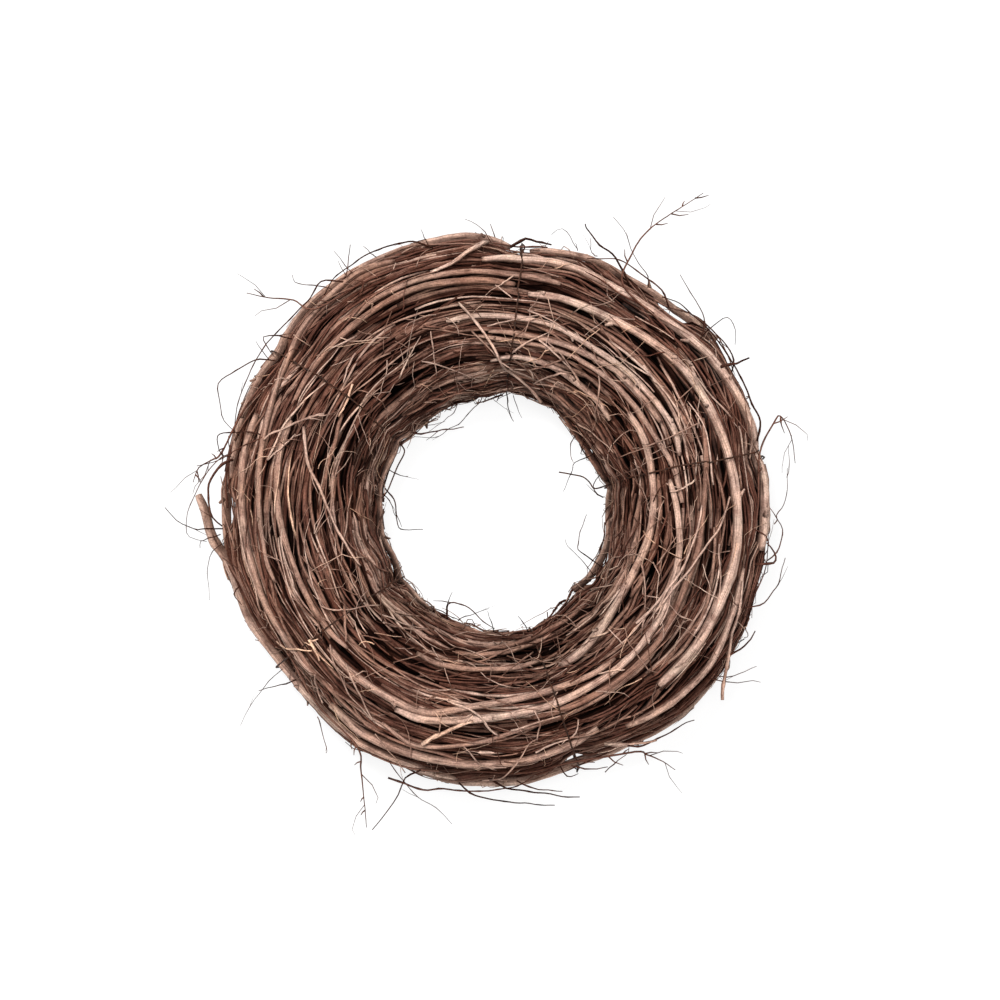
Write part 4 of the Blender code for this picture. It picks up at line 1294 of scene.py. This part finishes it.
class WREATH_OT_shoots(bpy.types.Operator):
    """Dresses the six stray shoots with their side shoots"""

    bl_idname = "wreath.shoots"
    bl_label = "Stray shoots"

    def execute(self, context):
        for name, tips in SHOOT_TIPS.items():
            draw = random.Random("shoot " + name)
            found = [(place, radius * SHOOT_SHARE) for place, radius in strand_stations(name)]
            last = found[-1][1]
            for k, (degrees, from_axis, height) in enumerate(tips):
                place = ring_place(math.radians(degrees), from_axis, height)
                found.append((place, last * (1 - TIP_THINNING * (k + 1))))
            tubes = Tubes("fine_" + name, SHOOT_SIDES)
            line = smooth_line(found, SHOOT_STEP)
            tone = draw.uniform(0.22, 0.36)
            lay_rod(draw, tubes, line, tone, SHOOT_BUDS)
            lay_forks(draw, tubes, found, tone)
            lay_thorns(draw, tubes, line, tone)
            finish_piece(tubes, ("twig_bark", "cut_wood"), name)
        return {"FINISHED"}


def crossing_line(draw, points, radius):
    """A smooth line over everything through points given as section and distance from the ring's axis."""
    top = ground_map("top")
    anchors = []
    for section, from_axis in points:
        along = section * STEP
        distance = from_axis / 1000
        around = around_for(top, along, distance)
        beyond = abs(distance - RING_RADIUS) / max(abs(math.cos(around)), 0.2)
        anchors.append((along, around, max(0.0, beyond - read(top, along, around))))
    dense = []
    for (a0, b0, c0), (a1, b1, c1) in zip(anchors, anchors[1:]):
        distance = (torus_point(a0, b0, CROSSING_REACH) - torus_point(a1, b1, CROSSING_REACH)).length
        count = max(2, round(distance / CROSSING_STEP))
        for k in range(count):
            t = k / count
            dense.append((a0 + (a1 - a0) * t, b0 + (b1 - b0) * t, c0 + (c1 - c0) * t))
    dense.append(anchors[-1])
    heights = ride_height(top, [(a, b) for a, b, _ in dense], radius, CROSSING_CLEAR)
    line = [torus_point(a, b, h + c) for (a, b, c), h in zip(dense, heights)]
    rounded = [line[0]]
    for before, here, after in zip(line, line[1:], line[2:]):
        rounded.append((before + here * 2 + after) / 4)
    rounded.append(line[-1])
    return bent(draw, rounded, CROSSING_SWAY)


def lay_crossing_twigs(draw, groups):
    """The twigs that cross on top, shared out by where they start."""
    for thickness, tone, points in CROSSING_TWIGS:
        radius = thickness / 2000
        line = crossing_line(draw, points, radius)
        tip = draw.uniform(0.55, 0.8)
        last = len(line) - 1
        radii = [radius * (1 - (1 - tip) * k / last) * (1 + draw.gauss(0, 0.03)) for k in range(last + 1)]
        for k in range(3, last - 1, draw.randint(6, 12)):
            radii[k] *= 1.22
        tubes = groups[int(points[0][0] // 10) % len(groups)]
        tubes.add(line, radii, tone)
        for _ in range(draw.choice((0, 1, 1, 2))):
            if len(line) > 6:
                lay_side_shoot(draw, tubes, line, radii, tone)


def lay_strays(draw, strays):
    """The stray twigs and hairs, dark and thinning to their tips."""
    for thickness, points in STRAYS:
        radius = thickness / 2000
        line = crossing_line(draw, points, radius)
        last = len(line) - 1
        radii = [radius * (1 - 0.5 * k / last) for k in range(last + 1)]
        for k in range(2, last - 1, draw.randint(4, 7)):
            radii[k] *= 1.3
        tone = draw.uniform(0.08, 0.30)
        strays.add(line, radii, tone)
        if len(line) > 6 and draw.random() < 0.5:
            lay_side_shoot(draw, strays, line, radii, tone)


class WREATH_OT_crossing(bpy.types.Operator):
    """Lays the twigs that cross the bundle, and the stray hairs around it"""

    bl_idname = "wreath.crossing"
    bl_label = "Crossing twigs and strays"

    def execute(self, context):
        draw = random.Random("crossing")
        groups = [Tubes(f"crossing_twigs_{number}", SHOOT_SIDES) for number in (1, 2, 3)]
        lay_crossing_twigs(draw, groups)
        for tubes in groups:
            finish_piece(tubes, ("twig_bark", "cut_wood"))
        strays = Tubes("stray_hairs")
        lay_strays(draw, strays)
        finish_piece(strays, ("twig_bark", "cut_wood"))
        return {"FINISHED"}


def pressed_in(draw, found):
    """The wire's stations, let down between the loose twigs wherever no rod holds them up."""
    bed, rods = ground_map("bed"), ground_map("rods")
    polar = [polar_of(bulged(place)) for place, _ in found]
    wanted = []
    for along, around, reach in polar:
        held = read(rods, along, around) > reach - HELD_DEPTH
        twisted = abs(around - TWIST_PLACE) < TWIST_REACH
        low = read(bed, along, around) + draw.uniform(-0.0012, 0.0004)
        wanted.append(reach if held or twisted else min(reach, max(low, reach - WIRE_SINK)))
    lowered = []
    for k, (along, around, reach) in enumerate(polar):
        near = wanted[max(0, k - 1):k + 2]
        lowered.append(torus_point(along, around, max(wanted[k], sum(near) / len(near))))
    return lowered


def tie_stations(name):
    """The stations of a tie's wire, from one twisted end to the other, and its angle round the ring."""
    mesh = merged(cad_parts[name])
    turn = angle_of(sum((v.co for v in mesh.verts), Vector()) / len(mesh.verts))
    out = ring_place(turn, 1, TWIST_LEAN).normalized()
    first = max(mesh.verts, key=lambda v: v.co.dot(out))
    found = stations(mesh, cap_at(first, out))
    mesh.free()
    return found, turn


class WREATH_OT_ties(bpy.types.Operator):
    """Draws the five wire ties, with the loose ends of two of them"""

    bl_idname = "wreath.ties"
    bl_label = "Wire ties"

    def execute(self, context):
        for name in sorted(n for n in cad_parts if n.startswith("wire_tie")):
            draw = random.Random("tie " + name)
            found, turn = tie_stations(name)
            tubes = Tubes("bound_" + name, SHOOT_SIDES)
            sideward = Vector((-math.sin(turn), math.cos(turn), 0))
            shift = 0.0
            places = []
            for place in pressed_in(draw, found):
                shift = shift * 0.75 + draw.gauss(0, WIRE_SWAY)
                places.append(place + sideward * shift)
            tubes.add(places, [r * WIRE_SHARE for _, r in found], 0.5)
            if name in TIE_TAILS:
                root = min((p for p in places if p.z > MIDDLE_HEIGHT), key=lambda p: p.xy.length)
                ends = [(root, TAIL_ROOT_RADIUS)]
                for section, from_axis, height in TIE_TAILS[name]:
                    ends.append((ring_place(section * STEP, from_axis, height) / 1000, TAIL_RADIUS))
                line = smooth_line(ends, TAIL_STEP)
                tubes.add([p for p, _ in line], [r for _, r in line], 0.5)
            finish_piece(tubes, ("annealed_wire", "annealed_wire"), name)
        return {"FINISHED"}


def lay_floor(scene):
    mesh = bmesh.new()
    bmesh.ops.create_grid(mesh, x_segments=2, y_segments=2, size=FLOOR_HALF_WIDTH)
    data = bpy.data.meshes.new("floor")
    mesh.to_mesh(data)
    mesh.free()
    floor = bpy.data.objects.new("floor", data)
    scene.collection.objects.link(floor)
    made, tree, shader = new_material("pale_floor")
    cloud = noise_on(tree, object_place(tree), 3, EVEN, 2.0, 0.5)
    tree.links.new(ramp(tree, cloud, ((0.3, grey(0.15)), (0.7, grey(0.17)))), shader.inputs["Base Color"])
    shader.inputs["Roughness"].default_value = 0.9
    shader.inputs["Emission Color"].default_value = (1.0, 1.0, 1.0, 1.0)
    shader.inputs["Emission Strength"].default_value = FLOOR_GLOW
    data.materials.append(made)


def light_sky(scene):
    world = bpy.data.worlds.new("soft_white")
    scene.world = world
    world.use_nodes = True
    sky = world.node_tree.nodes["Background"]
    sky.inputs[0].default_value = SKY_COLOUR
    sky.inputs[1].default_value = SKY_STRENGTH


def set_up(scene, name, data, place, target):
    """A lamp or camera at a place, turned to a target."""
    obj = bpy.data.objects.new(name, data)
    scene.collection.objects.link(obj)
    obj.location = place
    obj.rotation_euler = (target - obj.location).to_track_quat("-Z", "Y").to_euler()
    return obj


class WREATH_OT_stage(bpy.types.Operator):
    """Sets up the pale floor, the soft light and the camera over the wreath"""

    bl_idname = "wreath.stage"
    bl_label = "Stage"

    def execute(self, context):
        scene = context.scene
        lay_floor(scene)
        light_sky(scene)
        for name, place, size, power in LAMPS:
            lamp = bpy.data.lights.new(name, "AREA")
            lamp.size = size
            lamp.energy = power
            set_up(scene, name, lamp, place, LAMP_TARGET)
        camera = bpy.data.cameras.new("camera")
        camera.lens = CAMERA_LENS
        camera.sensor_width = CAMERA_SENSOR
        distance = CAMERA_HALF_WIDTH / math.tan(math.atan(CAMERA_SENSOR / 2 / CAMERA_LENS))
        place = CAMERA_TARGET + Vector((0, -math.cos(CAMERA_TILT), math.sin(CAMERA_TILT))) * distance
        scene.camera = set_up(scene, "camera", camera, place, CAMERA_TARGET)
        scene.view_settings.view_transform = "Standard"
        return {"FINISHED"}


class WREATH_PT_panel(bpy.types.Panel):
    bl_label = "Twig wreath"
    bl_idname = "WREATH_PT_panel"
    bl_space_type = "VIEW_3D"
    bl_region_type = "UI"
    bl_category = "Wreath"

    def draw(self, context):
        for operator in OPERATORS:
            self.layout.operator(operator.bl_idname)
        for group in (sizes(), colours()):
            for key in group.__annotations__:
                self.layout.prop(group, key)


OPERATORS = (
    WREATH_OT_rods, WREATH_OT_bunches, WREATH_OT_shoots, WREATH_OT_crossing, WREATH_OT_ties,
    WREATH_OT_stage)
CLASSES = (WreathSizes, WreathColours) + OPERATORS + (WREATH_PT_panel,)


def register():
    for cls in CLASSES:
        bpy.utils.register_class(cls)
    bpy.types.Scene.wreath_sizes = PointerProperty(type=WreathSizes)
    bpy.types.Scene.wreath_colours = PointerProperty(type=WreathColours)


def unregister():
    del bpy.types.Scene.wreath_colours
    del bpy.types.Scene.wreath_sizes
    for cls in reversed(CLASSES):
        bpy.utils.unregister_class(cls)


def main():
    register()
    bpy.ops.wreath.rods()
    bpy.ops.wreath.bunches()
    bpy.ops.wreath.shoots()
    bpy.ops.wreath.crossing()
    bpy.ops.wreath.ties()
    bpy.ops.wreath.stage()


if __name__ == "__main__":
    main()
